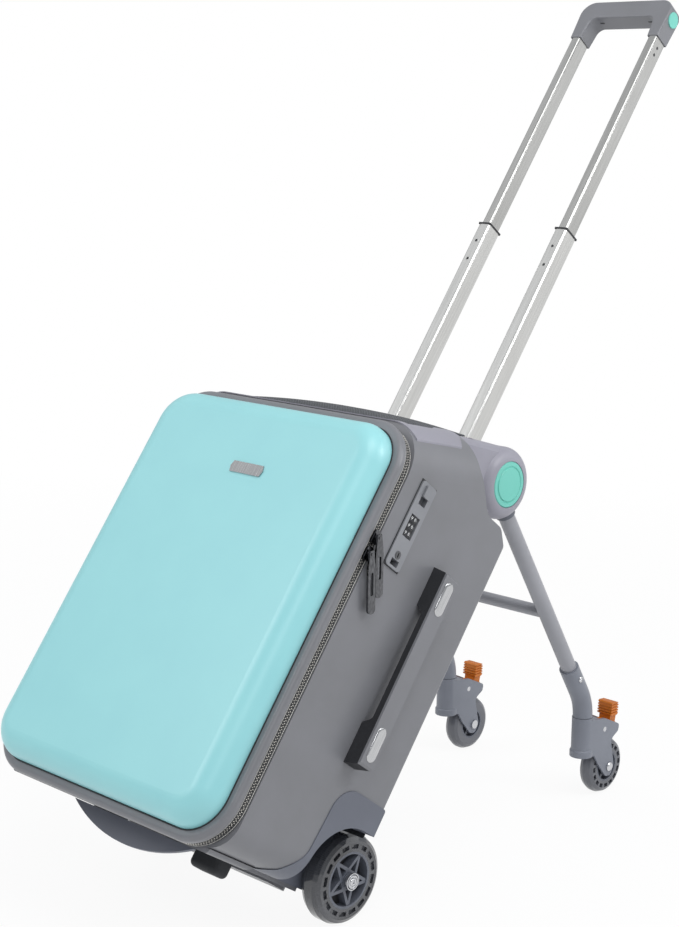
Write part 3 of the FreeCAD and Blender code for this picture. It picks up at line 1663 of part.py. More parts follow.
def zip_slider(name, station):
    body = box(
        f"{name}_body",
        (f"{SIDE} - zip_inset + 0.3", f"{ZIP_MIDDLE} - 4", f"{station} - 7"),
        (f"{SIDE} + 2.5", f"{ZIP_MIDDLE} + 4", f"{station} + 7"),
    )
    body = rounded(f"{name}_soft", body, "2", lambda edge: abs(edge.tangentAt(edge.FirstParameter).x) > 0.99)
    post = rod(f"{name}_post", "post_radius", (SIDE, ZIP_MIDDLE, station), "8", "x")
    return fuse(name, body, post)


def zip_pull(name, station, hang):
    """Strap with an eye on the slider's post, hanging straight down."""
    strap = prism(
        f"{name}_strap",
        "side",
        [("-2.5", "3.5"), ("2.5", "3.5"), ("5", "-14"), ("5", "-58"), ("-5", "-58"), ("-5", "-14")],
        f"{SIDE} + 5",
        f"{SIDE} + 7.4",
        {3: "4.5", 4: "4.5"},
    )
    eye = rod(f"{name}_eye", "post_radius + 0.1", (SIDE, "0", "0"), "30", "x")
    window = prism(
        f"{name}_window",
        "side",
        [("-2", "-18"), ("2", "-18"), ("2", "-40"), ("-2", "-40")],
        SIDE,
        f"{SIDE} + 30",
        {0: "1.5", 1: "1.5", 2: "1.5", 3: "1.5"},
    )
    pull = cut(name, strap, eye, window)
    DOC.recompute()
    place = Placement(point("0", ZIP_MIDDLE, station), Rotation(X_AXIS, value(hang)))
    return moved(pull, place)


# Case
node("body_shell", body_shell(), CASE)
node("base_tray", base_tray(), CASE)
housing = node("wheel_housing_right", wheel_housing(), CASE)
node("wheel_housing_left", mirrored("housing_left", housing))
axle = node("wheel_axle_right", wheel_axle(), WHEEL)
node("wheel_axle_left", mirrored("axle_left", axle))
node("top_housing", top_housing(), CASE)
node("pivot_pins", pivot_pins(), CASE)
node("seat_trim", seat_trim(), CASE)
node("seat_pad", seat_pad(), CASE.multiply(SEAT))
node("guide_sleeves", guide_sleeves(), CASE)
node("trolley_cover", trolley_cover(), CASE)
node("lock_plate", lock_plate(), CASE)
for number in range(3):
    node(f"digit_wheel_{number + 1}", digit_wheel(number), CASE)
node("lock_slider", lock_slider(), CASE)
node("key_cylinder", key_cylinder(), CASE)
node("side_handle", side_handle(), CASE)
node("handle_cover", handle_cover(), CASE)
node("handle_inlays", handle_inlays(), CASE)
node("rubber_feet", rubber_feet(), CASE)
node("zip_tape_body", zip_tape("body_tape", "rim_depth - 1 + zip_half + zip_gap", SHELL_FRONT), CASE)

# Lid
node("lid_rim", lid_rim(), CASE)
node("front_panel", front_panel(), CASE)
node("zip_tape_lid", zip_tape("lid_tape", "rim_depth - 1", "rim_depth - 1 + zip_half"), CASE)
node("badge_plate", badge_plate(), CASE)

# Zip
for label, station in (("upper", "lock_low + 13.6"), ("lower", "lock_low - 3.8")):
    node(f"zip_slider_{label}", zip_slider(f"slider_{label}", station), CASE)
    node(f"zip_pull_{label}", zip_pull(f"pull_{label}", station, "case_lean"), CASE)

# Large wheels
big_tyre = tyre("big_tyre", "wheel_radius", "wheel_width", "hub_radius", "wheel_inner")
tyre_right = node("tyre_right", big_tyre, WHEEL)
node("tyre_left", mirrored("tyre_mirror", tyre_right))
hub_right = node("wheel_hub_right", star_hub(), WHEEL)
node("wheel_hub_left", mirrored("hub_mirror", hub_right))

# Leg frame
node("leg_tubes", leg_tubes(), LEG)
node("leg_drums", leg_drums(), LEG)
node("crossbar", crossbar(), LEG)
node("elbows", elbows())
button_turn = [
    ("bore_outer - button_lip", "0"),
    ("barrel_half + 0.6", "0"),
    ("barrel_half + 0.6", "button_radius - 7"),
    ("barrel_half - 0.6", "button_radius - 6.2"),
    ("barrel_half - 0.6", "button_radius - 5.4"),
    ("barrel_half + 0.2", "button_radius - 4.8"),
    ("barrel_half + 0.2", "button_radius - 1"),
    ("barrel_half - 0.8", "button_radius"),
    ("bore_outer - button_lip", "button_radius"),
]
button_seat = CASE.multiply(Placement(point("0", "barrel_back", "barrel_up"), Rotation()))
button_right = node("leg_button_right", turned("leg_button", button_turn), button_seat)
node("leg_button_left", mirrored("leg_button_mirror", button_right))

# Casters
caster_wheel = SWIVEL.multiply(Placement(point("0", "caster_trail", "caster_radius"), Rotation()))
small_tyre = tyre("small_tyre", "caster_radius", "caster_width", "caster_hub", "-caster_width / 2")
caster_parts = [
    ("caster_fork", caster_fork(), SWIVEL),
    ("caster_pins", caster_pins(), SWIVEL),
    ("brake_lever", brake_lever(), SWIVEL),
    ("caster_tyre", small_tyre, caster_wheel),
    ("caster_hub", caster_hub(), caster_wheel),
]
for label, piece, frame in caster_parts:
    right = node(f"{label}_right", piece, frame)
    node(f"{label}_left", mirrored(f"{label}_mirror", right))

# Telescopic handle
lower_wall = "(lower_wide - upper_wide - 2 * tube_clear) / 2"
lower_tubes = telescope("lower_tubes", "lower_wide", "lower_deep", "lower_end", "lower_top", lower_wall)
node("lower_tubes", lower_tubes, CASE)
node("tube_collars", collars(), CASE)
upper_tubes = telescope("upper_tubes", "upper_wide", "upper_deep", "upper_end", "grip_top - 12", "tube_wall")
node("upper_tubes", upper_tubes, CASE)
node("grip", grip(), CASE)
node("grip_caps", grip_caps(), CASE)
node("grip_button", grip_button(), CASE)

# Footrest
node("footrest", footrest(), CASE)

DOC.recompute()
faults = [item.Name for item in DOC.Objects if {"Invalid", "Error"} & set(item.State)]
for piece in NODES:
    shape = piece.Shape
    if shape.isNull() or not shape.isValid() or not shape.Solids:
        faults.append(piece.Label)
if faults:
    raise RuntimeError("failed pieces: " + ", ".join(faults))

os.makedirs("parts", exist_ok=True)
for piece in NODES:
    piece.Shape.exportStep(os.path.join("parts", piece.Label + ".step"))
print(len(NODES), "pieces written")
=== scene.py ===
import json
from math import cos, pi, radians, sin

import bmesh
import bpy
from mathutils import Matrix, Vector


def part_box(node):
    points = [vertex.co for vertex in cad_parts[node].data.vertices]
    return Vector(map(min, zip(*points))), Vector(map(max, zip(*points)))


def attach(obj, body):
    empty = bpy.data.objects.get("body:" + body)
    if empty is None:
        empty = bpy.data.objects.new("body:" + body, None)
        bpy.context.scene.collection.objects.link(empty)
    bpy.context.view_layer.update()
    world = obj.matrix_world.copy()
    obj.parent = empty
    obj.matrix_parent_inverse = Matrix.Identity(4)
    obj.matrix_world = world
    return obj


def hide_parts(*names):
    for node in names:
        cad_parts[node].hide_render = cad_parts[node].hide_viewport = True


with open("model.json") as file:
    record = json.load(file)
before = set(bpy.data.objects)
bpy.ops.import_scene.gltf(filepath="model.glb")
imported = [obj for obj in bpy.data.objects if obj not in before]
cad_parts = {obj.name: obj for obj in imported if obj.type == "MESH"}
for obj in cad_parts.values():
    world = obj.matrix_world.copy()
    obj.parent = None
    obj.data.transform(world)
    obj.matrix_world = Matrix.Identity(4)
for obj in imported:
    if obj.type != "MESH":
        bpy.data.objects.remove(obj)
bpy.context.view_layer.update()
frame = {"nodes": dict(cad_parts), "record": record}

# Ride-on suitcase. +Z is up, the cyan front faces -Y and the lock is on the +X side.
# Places on the leaning case are in millimetres: across, up the case and from front to back.
MM = 0.001
LEAN = radians(36.6)
SEAT_SLOPE = radians(23.3)
LEG_ANGLE = radians(32.3)
CASE_DEPTH = 198
CASE_FRONT_LOW = Vector((0, -0.19909, 0.15026))
ACROSS = Vector((1, 0, 0))
CASE_UP = Vector((0, sin(LEAN), cos(LEAN)))
CASE_BACK = Vector((0, cos(LEAN), -sin(LEAN)))
SEAT_UP = Vector((0, sin(LEAN - SEAT_SLOPE), cos(LEAN - SEAT_SLOPE)))
LEG_UP = Vector((0, -sin(LEG_ANGLE), cos(LEG_ANGLE)))
BOTH = (-1, 1)
WHEEL_SIDES = (("right", 1), ("left", -1))

NODES = frame["nodes"]


def on_case(x, up, back):
    """A point of the leaning case, from millimetres across, up the case and from front to back."""
    return CASE_FRONT_LOW + (x * ACROSS + up * CASE_UP + back * CASE_BACK) * MM


# Materials
CLOUD_MM = 60
TONE_RANGE = (0.3, 0.7)


def linear(hex_colour):
    """An sRGB hex colour as linear RGBA."""
    parts = [int(hex_colour[place : place + 2], 16) / 255 for place in (1, 3, 5)]
    return tuple(c / 12.92 if c <= 0.04045 else ((c + 0.055) / 1.055) ** 2.4 for c in parts) + (1.0,)


def per_mm(size):
    """Texture scale that gives a pattern of this many millimetres."""
    return 1 / (size * MM)


def add(tree, kind, settings=None, **inputs):
    """Adds a node. An input is a constant, or an output socket of another node to link from."""
    made = tree.nodes.new("ShaderNode" + kind)
    for name, setting in (settings or {}).items():
        setattr(made, name, setting)
    for name, given in inputs.items():
        key = int(name[1:]) if name[1:].isdigit() else name.replace("_", " ")
        socket = made.inputs[key]
        if isinstance(given, bpy.types.NodeSocket):
            tree.links.new(given, socket)
        else:
            socket.default_value = given
    return made


def blank(name):
    """A new material with an empty tree, and coordinates that stay with the piece."""
    finish = bpy.data.materials.new(name)
    finish.use_nodes = True
    tree = finish.node_tree
    tree.nodes.clear()
    return finish, tree, add(tree, "TexCoord").outputs["Object"]


def surfaced(tree, tone, colours, roughness, relief, depth_mm, strength, **extra):
    """Ends a material: one field of 0 to 1 varies colour and gloss together, another is the relief."""
    ramp = add(tree, "ValToRGB", Fac=tone)
    for stop, position, colour in zip(ramp.color_ramp.elements, TONE_RANGE, colours):
        stop.position = position
        stop.color = linear(colour)
    gloss = add(tree, "MapRange", Value=tone, To_Min=roughness[0], To_Max=roughness[1])
    bump = add(tree, "Bump", Height=relief, Distance=depth_mm * MM, Strength=strength)
    extra.update(Base_Color=ramp.outputs["Color"], Roughness=gloss.outputs["Result"])
    shader = add(tree, "BsdfPrincipled", Normal=bump.outputs["Normal"], **extra)
    add(tree, "OutputMaterial", Surface=shader.outputs["BSDF"])


def moulded(name, dark, light, rough, grain_mm, depth_mm, strength, **extra):
    """Moulded plastic or rubber: spark-eroded grain, and slow clouding of colour and gloss."""
    finish, tree, place = blank(name)
    cloud = add(tree, "TexNoise", Vector=place, Scale=per_mm(CLOUD_MM), Detail=4.0).outputs["Fac"]
    grain = add(tree, "TexNoise", Vector=place, Scale=per_mm(grain_mm), Detail=2.0).outputs["Fac"]
    gloss = (rough - 0.05, rough + 0.07)
    surfaced(tree, cloud, (dark, light), gloss, grain, depth_mm, strength, **extra)
    return finish


def brushed(name, dark, light, rough_low, rough_high, line_mm, run_mm, tilt, strength):
    """Brushed metal: fine lines along the piece, each a little duller or brighter than the next."""
    finish, tree, place = blank(name)
    scale = (per_mm(line_mm), per_mm(line_mm), per_mm(run_mm))
    turned = add(tree, "Mapping", Vector=place, Rotation=(tilt, 0, 0))
    stretch = add(tree, "Mapping", Vector=turned.outputs["Vector"], Scale=scale)
    lines = add(tree, "TexNoise", Vector=stretch.outputs["Vector"], Scale=1.0, Detail=3.0).outputs["Fac"]
    surfaced(tree, lines, (dark, light), (rough_low, rough_high), lines, 0.03, strength, Metallic=1.0)
    return finish


def air_mesh(name, hole, yarn, cell_mm):
    """Knitted spacer mesh: rows of small holes between soft yarns, with a dusty sheen at grazing angles."""
    finish, tree, place = blank(name)
    turned = add(tree, "Mapping", Vector=place, Rotation=(LEAN - SEAT_SLOPE, 0, radians(45)))
    flat = {"feature": "F1", "voronoi_dimensions": "2D"}
    cells = add(
        tree, "TexVoronoi", flat, Vector=turned.outputs["Vector"], Scale=per_mm(cell_mm), Randomness=0.15
    )
    fuzz = add(tree, "TexNoise", Vector=place, Scale=per_mm(1.2), Detail=3.0)
    rim = add(tree, "MapRange", Value=cells.outputs["Distance"], From_Min=0.15, From_Max=0.55)
    blend = {"operation": "MULTIPLY_ADD"}
    yarns = add(tree, "Math", blend, i0=fuzz.outputs["Fac"], i1=0.3, i2=rim.outputs["Result"]).outputs["Value"]
    sheen = {"Sheen_Weight": 0.08, "Sheen_Roughness": 0.4}
    surfaced(tree, yarns, (hole, yarn), (0.75, 0.95), yarns, 0.6, 0.7, **sheen)
    return finish


def woven(name, dark, light, thread_mm, tilt):
    """Plain woven tape: crossing threads that catch the light in turn."""
    finish, tree, place = blank(name)
    turned = add(tree, "Mapping", Vector=place, Rotation=(tilt, 0, 0))
    split = add(tree, "SeparateXYZ", Vector=turned.outputs["Vector"])
    times = {"operation": "MULTIPLY"}
    waves = []
    for axis in "XYZ":
        angle = add(tree, "Math", times, i0=split.outputs[axis], i1=pi * per_mm(thread_mm))
        waves.append(add(tree, "Math", {"operation": "SINE"}, i0=angle.outputs["Value"]).outputs["Value"])
    across = add(tree, "Math", times, i0=waves[0], i1=waves[2]).outputs["Value"]
    along = add(tree, "Math", times, i0=waves[1], i1=waves[2]).outputs["Value"]
    both = add(tree, "Math", {"operation": "ADD"}, i0=across, i1=along).outputs["Value"]
    threads = add(tree, "MapRange", Value=both, From_Min=-1.0, From_Max=1.0).outputs["Result"]
    surfaced(tree, threads, (dark, light), (0.8, 0.95), threads, 0.25, 0.6, Sheen_Weight=0.2)
    return finish


# One finish for each slot of the record
FINISHES = {
    # Moulded ABS with a satin spark grain, drawn coarser than its real 0.3 mm so that it shows
    "shell_gray": moulded("satin_abs_gray", "#747579", "#7A7B80", 0.34, 1.4, 0.05, 0.2),
    # Pressed polycarbonate under clear lacquer: smooth with a slow orange peel and a soft wide highlight
    "panel_cyan": moulded(
        "lacquered_polycarbonate_cyan", "#93D2D7", "#96D5D9", 0.38, 7, 0.05, 0.1,
        Coat_Weight=0.25, Coat_Roughness=0.3
    ),
    # Moulded polypropylene, cool and a little waxy
    "slate_plastic": moulded("moulded_polypropylene_slate", "#60646F", "#686C77", 0.44, 1.3, 0.06, 0.25),
    # Painted ABS, smoother than the shell beside it
    "lavender_plastic": moulded("painted_abs_lavender", "#8E8D97", "#9695A0", 0.38, 1.6, 0.04, 0.2),
    # Knitted polyester mesh over foam: near black, with gray yarns round 2.6 mm holes
    "seat_cloth": air_mesh("polyester_spacer_mesh", "#26282B", "#4E5156", 2.6),
    # Anodised tubes, brushed along their length: pale, with long streaks of light
    "tube_aluminium": brushed(
        "brushed_anodised_aluminium", "#C2C2C0", "#D6D6D4", 0.26, 0.36, 0.7, 60, LEAN, 0.06
    ),
    # Powder-coated steel: fine even orange peel with a metallic glint
    "leg_paint": moulded("powder_coated_steel", "#93949A", "#9D9EA4", 0.36, 1.1, 0.05, 0.2, Metallic=0.2),
    # Glass-filled nylon, nearly black and dull
    "black_plastic": moulded("moulded_nylon_black", "#202124", "#2A2B2F", 0.48, 1.2, 0.06, 0.3),
    # Rubber, matt with a chalky bloom
    "foot_rubber": moulded("moulded_rubber_black", "#232528", "#303236", 0.72, 1.6, 0.1, 0.4),
    # Clear-tinted polyurethane: light enters the edge and comes out milky
    "tyre_smoke": moulded(
        "smoky_polyurethane", "#4C4E53", "#606268", 0.1, 3.0, 0.04, 0.12,
        Transmission_Weight=0.5, IOR=1.45, Coat_Weight=0.6, Coat_Roughness=0.03
    ),
    # Nylon wheel centre, even and half dull
    "hub_slate": moulded("moulded_nylon_slate", "#5B5F69", "#646872", 0.38, 1.2, 0.05, 0.25),
    # Chrome-plated steel, mirror bright with hairlines
    "bolt_chrome": brushed("chrome_plated_steel", "#B9BABD", "#D6D7DA", 0.10, 0.22, 0.8, 6, 0, 0.05),
    # Moulded ABS with a soft gloss
    "teal_plastic": moulded("glossy_abs_teal", "#68BFB1", "#74C8BA", 0.34, 1.5, 0.04, 0.2),
    # Moulded ABS, duller where a shoe presses it
    "orange_plastic": moulded("moulded_abs_orange", "#BC6410", "#CC7318", 0.42, 1.2, 0.06, 0.3),
    # Woven polyester tape, drawn at twice its 0.6 mm thread so that it shows
    "zip_cloth": woven("woven_polyester_tape", "#141518", "#2B2C31", 1.2, LEAN),
    # Black-nickel-plated zinc: dark, with sharp white glints
    "zip_metal": brushed("black_nickel_zinc", "#4A4B4E", "#76777A", 0.05, 0.12, 0.8, 4, 0, 0.04),
    # Painted zinc casting with a faint metallic glint
    "lock_gray": moulded("painted_zinc_gray", "#83858A", "#8B8D92", 0.38, 1.2, 0.05, 0.25, Metallic=0.2),
    # Nickel-plated brass, finely brushed
    "nickel": brushed("brushed_nickel", "#9A9B9C", "#B2B3B4", 0.14, 0.24, 0.7, 30, LEAN, 0.04),
}

# Painted cast zinc of the forks and elbows, paler than the wheel centres
FORK_FINISH = moulded("painted_cast_zinc_slate", "#757983", "#7E828C", 0.36, 1.2, 0.05, 0.22)
# Gray polyurethane of the casters, paler and duller than the large tyres
CASTER_FINISH = moulded("gray_polyurethane", "#5B5D63", "#676970", 0.3, 2.0, 0.05, 0.15, Coat_Weight=0.2)
# Inner tubes of the handle: a darker copy of the anodised aluminium of the outer ones, painted shade that
# holds them down
SHADED_INNER_TUBE_FINISH = brushed(
    "brushed_anodised_aluminium_dark", "#A9A9A7", "#BEBEBC", 0.28, 0.38, 0.7, 60, LEAN, 0.06
)
# Light sewing thread
THREAD_FINISH = woven("polyester_thread_gray", "#8E8D8A", "#C2C1BD", 1.2, LEAN)
# Plated zip teeth, lighter than the sliders
TEETH_FINISH = brushed("nickel_plated_teeth", "#A9A7A1", "#C6C4BE", 0.22, 0.36, 0.8, 2, 0, 0.05)
# Polished chrome, nearly a mirror
DOME_FINISH = brushed("polished_chrome", "#B4B5B7", "#C6C7C9", 0.06, 0.12, 0.7, 20, LEAN, 0.03)
# Pad-printed white ink
DIGIT_PAINT = moulded("printed_ink_white", "#DADBDC", "#E6E7E8", 0.5, 1.0, 0.02, 0.1)
OWN_FINISH = {
    # Painted shade: the upper tubes take the darker copy of the tube aluminium
    "upper_tubes": SHADED_INNER_TUBE_FINISH,
    "elbows": FORK_FINISH,
    "caster_fork_right": FORK_FINISH,
    "caster_fork_left": FORK_FINISH,
    "caster_tyre_right": CASTER_FINISH,
    "caster_tyre_left": CASTER_FINISH,
}


def dress_nodes():
    """Puts the finish of its slot, or its own one, on every CAD node."""
    slot_of = {part["node"]: part["material_slot"] for part in frame["record"]["subparts"]}
    for name, solid in NODES.items():
        finish = OWN_FINISH.get(name, FINISHES[slot_of[name]])
        if len(solid.data.materials) == 0:
            solid.data.materials.append(finish)
        for index in range(len(solid.data.materials)):
            solid.data.materials[index] = finish


dress_nodes()


# Tools for small pieces
SCREW_STEPS = 32


def piece(name, bm, body, slot, finish=None, sharp=40):
    """Turns a bmesh into a piece that rides on a body and takes the finish of a slot."""
    mesh = bpy.data.meshes.new(name)
    bmesh.ops.recalc_face_normals(bm, faces=bm.faces)
    bm.to_mesh(mesh)
    bm.free()
    mesh.materials.append(finish or FINISHES[slot])
    mesh.shade_smooth()
    mesh.set_sharp_from_angle(angle=radians(sharp))
    made = bpy.data.objects.new(name, mesh)
    bpy.context.scene.collection.objects.link(made)
    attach(made, body)


def facing(at, out, up):
    """Matrix whose Z points out of a surface and whose Y lies along up."""
    z_axis = out.normalized()
    x_axis = up.cross(z_axis).normalized()
    y_axis = z_axis.cross(x_axis)
    turn = Matrix((x_axis, y_axis, z_axis)).transposed().to_4x4()
    return Matrix.Translation(at) @ turn


def soft_block(bm, place, size_mm, round_mm, segments=2):
    """Block with rounded edges, centred on a place."""
    made = bmesh.ops.create_cube(bm, size=1)["verts"]
    bmesh.ops.scale(bm, vec=Vector(size_mm) * MM, verts=made)
    edges = list({edge for vert in made for edge in vert.link_edges})
    rounding = {"offset": round_mm * MM, "segments": segments, "affect": "EDGES", "profile": 0.5}
    cut = bmesh.ops.bevel(bm, geom=edges, **rounding)
    corners = {vert for face in cut["faces"] for vert in face.verts}
    bmesh.ops.transform(bm, matrix=place, verts=list(corners))


def ring(bm, place, radius, height, steps):
    """Corners of a circle about the Z of a place, in millimetres."""
    turns = [2 * pi * step / steps for step in range(steps)]
    return [bm.verts.new(place @ (Vector((radius * cos(a), radius * sin(a), height)) * MM)) for a in turns]


def skin(bm, low, high):
    """Faces between two closed rows of corners. A row of a single corner makes a tip."""
    steps = max(len(low), len(high))
    for step in range(steps):
        after = (step + 1) % steps
        below = [low[step % len(low)], low[after % len(low)]]
        above = [high[after % len(high)], high[step % len(high)]]
        corners = list(dict.fromkeys(below + above))
        bm.faces.new(corners)


def lathe(bm, place, profile, steps=32):
    """Turned form about the Z of a place, from pairs of radius and height in millimetres."""
    rows = [ring(bm, place, radius, height, steps if radius else 1) for radius, height in profile]
    for low, high in zip(rows, rows[1:]):
        skin(bm, low, high)


def cross_screw(bm, place, radius):
    """Pan-head screw with a cross recess."""
    slot = radius * 0.16
    arm = radius * 0.62
    crown = radius * 0.34
    corners = [(arm, -slot), (arm, slot), (slot, slot)]
    cross = []
    for quarter in range(4):
        cross += corners
        corners = [(-y, x) for x, y in corners]
    mouth = [bm.verts.new(place @ (Vector((x, y, crown)) * MM)) for x, y in cross]
    floor = [bm.verts.new(place @ (Vector((x, y, crown * 0.2)) * MM)) for x, y in cross]
    foot = ring(bm, place, radius, -0.3, SCREW_STEPS)
    waist = ring(bm, place, radius, crown * 0.45, SCREW_STEPS)
    rim = ring(bm, place, radius * 0.8, crown, SCREW_STEPS)
    edges = [bm.edges.new((row[i - 1], row[i])) for row in (rim, mouth) for i in range(len(row))]
    bmesh.ops.triangle_fill(bm, edges=edges, use_beauty=True)
    bm.faces.new(floor)
    for low, high in ((mouth, floor), (foot, waist), (waist, rim)):
        skin(bm, low, high)


def rounded_loop(half, low, high, corner, pitch):
    """Stations around a rounded frame: x, height and outward angle, a pitch apart, in millimetres."""
    side = high - low - 2 * corner
    width = 2 * half - 2 * corner
    arc = corner * pi / 2
    runs = [
        ("line", (half, low + corner), pi / 2, side, 0),
        ("arc", (half - corner, high - corner), 0, arc, 0),
        ("line", (half - corner, high), pi, width, pi / 2),
        ("arc", (corner - half, high - corner), pi / 2, arc, 0),
        ("line", (-half, high - corner), -pi / 2, side, pi),
        ("arc", (corner - half, low + corner), pi, arc, 0),
        ("line", (corner - half, low), 0, width, -pi / 2),
        ("arc", (half - corner, low + corner), -pi / 2, arc, 0),
    ]
    total = 2 * side + 2 * width + 4 * arc
    count = int(total / pitch)
    stations = []
    for index in range(count):
        left = total * index / count
        for kind, (x, up), angle, length, normal in runs:
            if left > length:
                left -= length
                continue
            if kind == "line":
                stations.append((x + left * cos(angle), up + left * sin(angle), normal))
            else:
                turn = angle + left / corner
                stations.append((x + corner * cos(turn), up + corner * sin(turn), turn))
            break
    return stations


# Gasket line between the cyan panel and its rim, and the sewn edges of the zip.
# A frame is given by its half width, lower edge, upper edge and corner radius.
PANEL_FRAME = (160, 0, 424, 40)
PANEL_GASKET_BACK = -1.0
PANEL_GASKET_RADIUS = 0.8
ZIP_FRAME = (168.8, -8.8, 432.8, 48.8)
SEAM_BACK = {"lid": 8.6, "case": 16.4}
SEAM_RADIUS = 0.5
BEAD_SIDES = 8
BEAD_PITCH = 4


def bead(name, body, slot, outline, back, radius, finish=None):
    """Round bead laid along a rounded frame."""
    bm = bmesh.new()
    rows = []
    turns = [2 * pi * step / BEAD_SIDES for step in range(BEAD_SIDES)]
    for x, up, normal in rounded_loop(*outline, BEAD_PITCH):
        out = cos(normal) * ACROSS + sin(normal) * CASE_UP
        centre = on_case(x, up, back)
        rows.append([bm.verts.new(centre + (out * cos(a) + CASE_BACK * sin(a)) * radius * MM) for a in turns])
    for one, other in zip(rows, rows[1:] + rows[:1]):
        skin(bm, one, other)
    piece(name, bm, body, slot, finish)


bead("panel_gasket", "lid", "black_plastic", PANEL_FRAME, PANEL_GASKET_BACK, PANEL_GASKET_RADIUS)
for tape_body, tape_back in SEAM_BACK.items():
    bead(f"zip_seam_{tape_body}", tape_body, "zip_cloth", ZIP_FRAME, tape_back, SEAM_RADIUS, THREAD_FINISH)

# Zip: interlocking teeth on both tapes, except along the hinge on the left
TEETH_BACK = {"lid": 11.6, "case": 13.4}
ZIP_PITCH = 1.5
TOOTH = (1.0, 2.2, 1.3)
TOOTH_ROUND = 0.3
TOOTH_SINK = 0.2
HINGE_LOW = 60
HINGE_HIGH = 370


def zip_teeth():
    rows = {body: bmesh.new() for body in TEETH_BACK}
    left_side = 1 - ZIP_FRAME[0]
    for index, (x, up, normal) in enumerate(rounded_loop(*ZIP_FRAME, ZIP_PITCH)):
        if x < left_side and HINGE_LOW < up < HINGE_HIGH:
            continue
        body = "lid" if index % 2 else "case"
        out = cos(normal) * ACROSS + sin(normal) * CASE_UP
        place = facing(on_case(x, up, TEETH_BACK[body]) - out * TOOTH_SINK * MM, out, CASE_BACK)
        soft_block(rows[body], place, TOOTH, TOOTH_ROUND, segments=1)
    for body, bm in rows.items():
        piece(f"zip_teeth_{body}", bm, body, "zip_metal", TEETH_FINISH)


zip_teeth()

# Seat pad: foam under a knitted cover, blown up a little from a slightly smaller shape
PAD_VOXEL = 5 * MM
PAD_SHRINK = 3 * MM
PAD_HELD = 3 * MM
PAD_CAP = 2.5 * MM
PAD_PRESSURE = 4
PAD_FRAMES = 20


def applied(thing):
    """Fixes the piece's modifiers into its mesh."""
    graph = bpy.context.evaluated_depsgraph_get()
    mesh = bpy.data.meshes.new_from_object(thing.evaluated_get(graph))
    old = thing.data
    thing.modifiers.clear()
    thing.data = mesh
    bpy.data.meshes.remove(old)


def blow_up(pad):
    """Lets air pressure round the cover, held at its lower edge, and keeps it near its shape."""
    start = [vert.co.copy() for vert in pad.data.vertices]
    cloth = pad.modifiers.new("cloth", "CLOTH")
    cloth.settings.use_pressure = True
    cloth.settings.uniform_pressure_force = PAD_PRESSURE
    cloth.settings.effector_weights.gravity = 0
    cloth.settings.vertex_group_mass = "held"
    scene = bpy.context.scene
    for step in range(1, PAD_FRAMES + 1):
        scene.frame_set(step)
    applied(pad)
    scene.frame_set(1)
    for vert, home in zip(pad.data.vertices, start):
        move = vert.co - home
        if move.length > PAD_CAP:
            vert.co = home + move.normalized() * PAD_CAP


def seat_cushion():
    mesh = NODES["seat_pad"].data.copy()
    pad = bpy.data.objects.new("seat_cushion", mesh)
    bpy.context.scene.collection.objects.link(pad)
    mesh.materials.clear()
    mesh.materials.append(FINISHES["seat_cloth"])
    remesh = pad.modifiers.new("remesh", "REMESH")
    remesh.mode = "VOXEL"
    remesh.voxel_size = PAD_VOXEL
    applied(pad)
    bm = bmesh.new()
    bm.from_mesh(pad.data)
    bm.normal_update()
    for vert in bm.verts:
        vert.co -= vert.normal * PAD_SHRINK
    bm.to_mesh(pad.data)
    bm.free()
    heights = [vert.co.dot(SEAT_UP) for vert in pad.data.vertices]
    edge = min(heights) + PAD_HELD
    held = pad.vertex_groups.new(name="held")
    held.add([index for index, height in enumerate(heights) if height < edge], 1.0, "REPLACE")
    blow_up(pad)
    smooth = pad.modifiers.new("smooth", "SUBSURF")
    smooth.levels = smooth.render_levels = 1
    applied(pad)
    pad.data.shade_smooth()
    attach(pad, "case")
    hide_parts("seat_pad")


seat_cushion()

# Screws of the elbows, spring buttons of the lower tubes, rivets and slots of the grip
TUBE_SPREAD = 55.3
TUBE_BACK = 205
LOWER_TUBE_DEEP = 23.5
UPPER_TUBE_WIDE = 12.6
ELBOW_SCREW_AT = (115.6, 415, 154)
ELBOW_SCREW_RADIUS = 3.6
BUTTONS_UP = (763, 738)
BUTTON_PROFILE = [(0, 0.16), (1.3, 0.12), (2.0, -0.05), (2.0, -0.4)]
BUTTON_RING_PROFILE = [(1.9, -0.1), (2.0, 0.2), (2.6, 0.2), (2.9, -0.1)]
RIVETS_UP = (1047.5, 1038)
RIVET_BACK = TUBE_BACK - 1
RIVET_PROFILE = [(0, 0.0), (0.9, 0.02), (1.4, 0.12), (1.9, 0.02), (2.0, -0.3)]
SLOT_SIDE = 34.5
SLOT_UP = 1087
SLOT_SIZE = (2.2, 6, 0.4)
SLOT_ROUND = 0.15
SMALL_STEPS = 24


def elbow_screws():
    bm = bmesh.new()
    x, y, z = ELBOW_SCREW_AT
    for side in BOTH:
        place = facing(Vector((side * x, y, z)) * MM, side * ACROSS, LEG_UP)
        cross_screw(bm, place, ELBOW_SCREW_RADIUS)
    piece("elbow_screws", bm, "leg_frame", "bolt_chrome")


def spring_buttons():
    buttons = bmesh.new()
    rings = bmesh.new()
    for side in BOTH:
        for up in BUTTONS_UP:
            face = on_case(side * TUBE_SPREAD, up, TUBE_BACK - LOWER_TUBE_DEEP / 2)
            place = facing(face, -CASE_BACK, CASE_UP)
            lathe(buttons, place, BUTTON_PROFILE, SMALL_STEPS)
            lathe(rings, place, BUTTON_RING_PROFILE, SMALL_STEPS)
    piece("spring_buttons", buttons, "handle_lower", "black_plastic")
    piece("button_rings", rings, "handle_lower", "tube_aluminium")


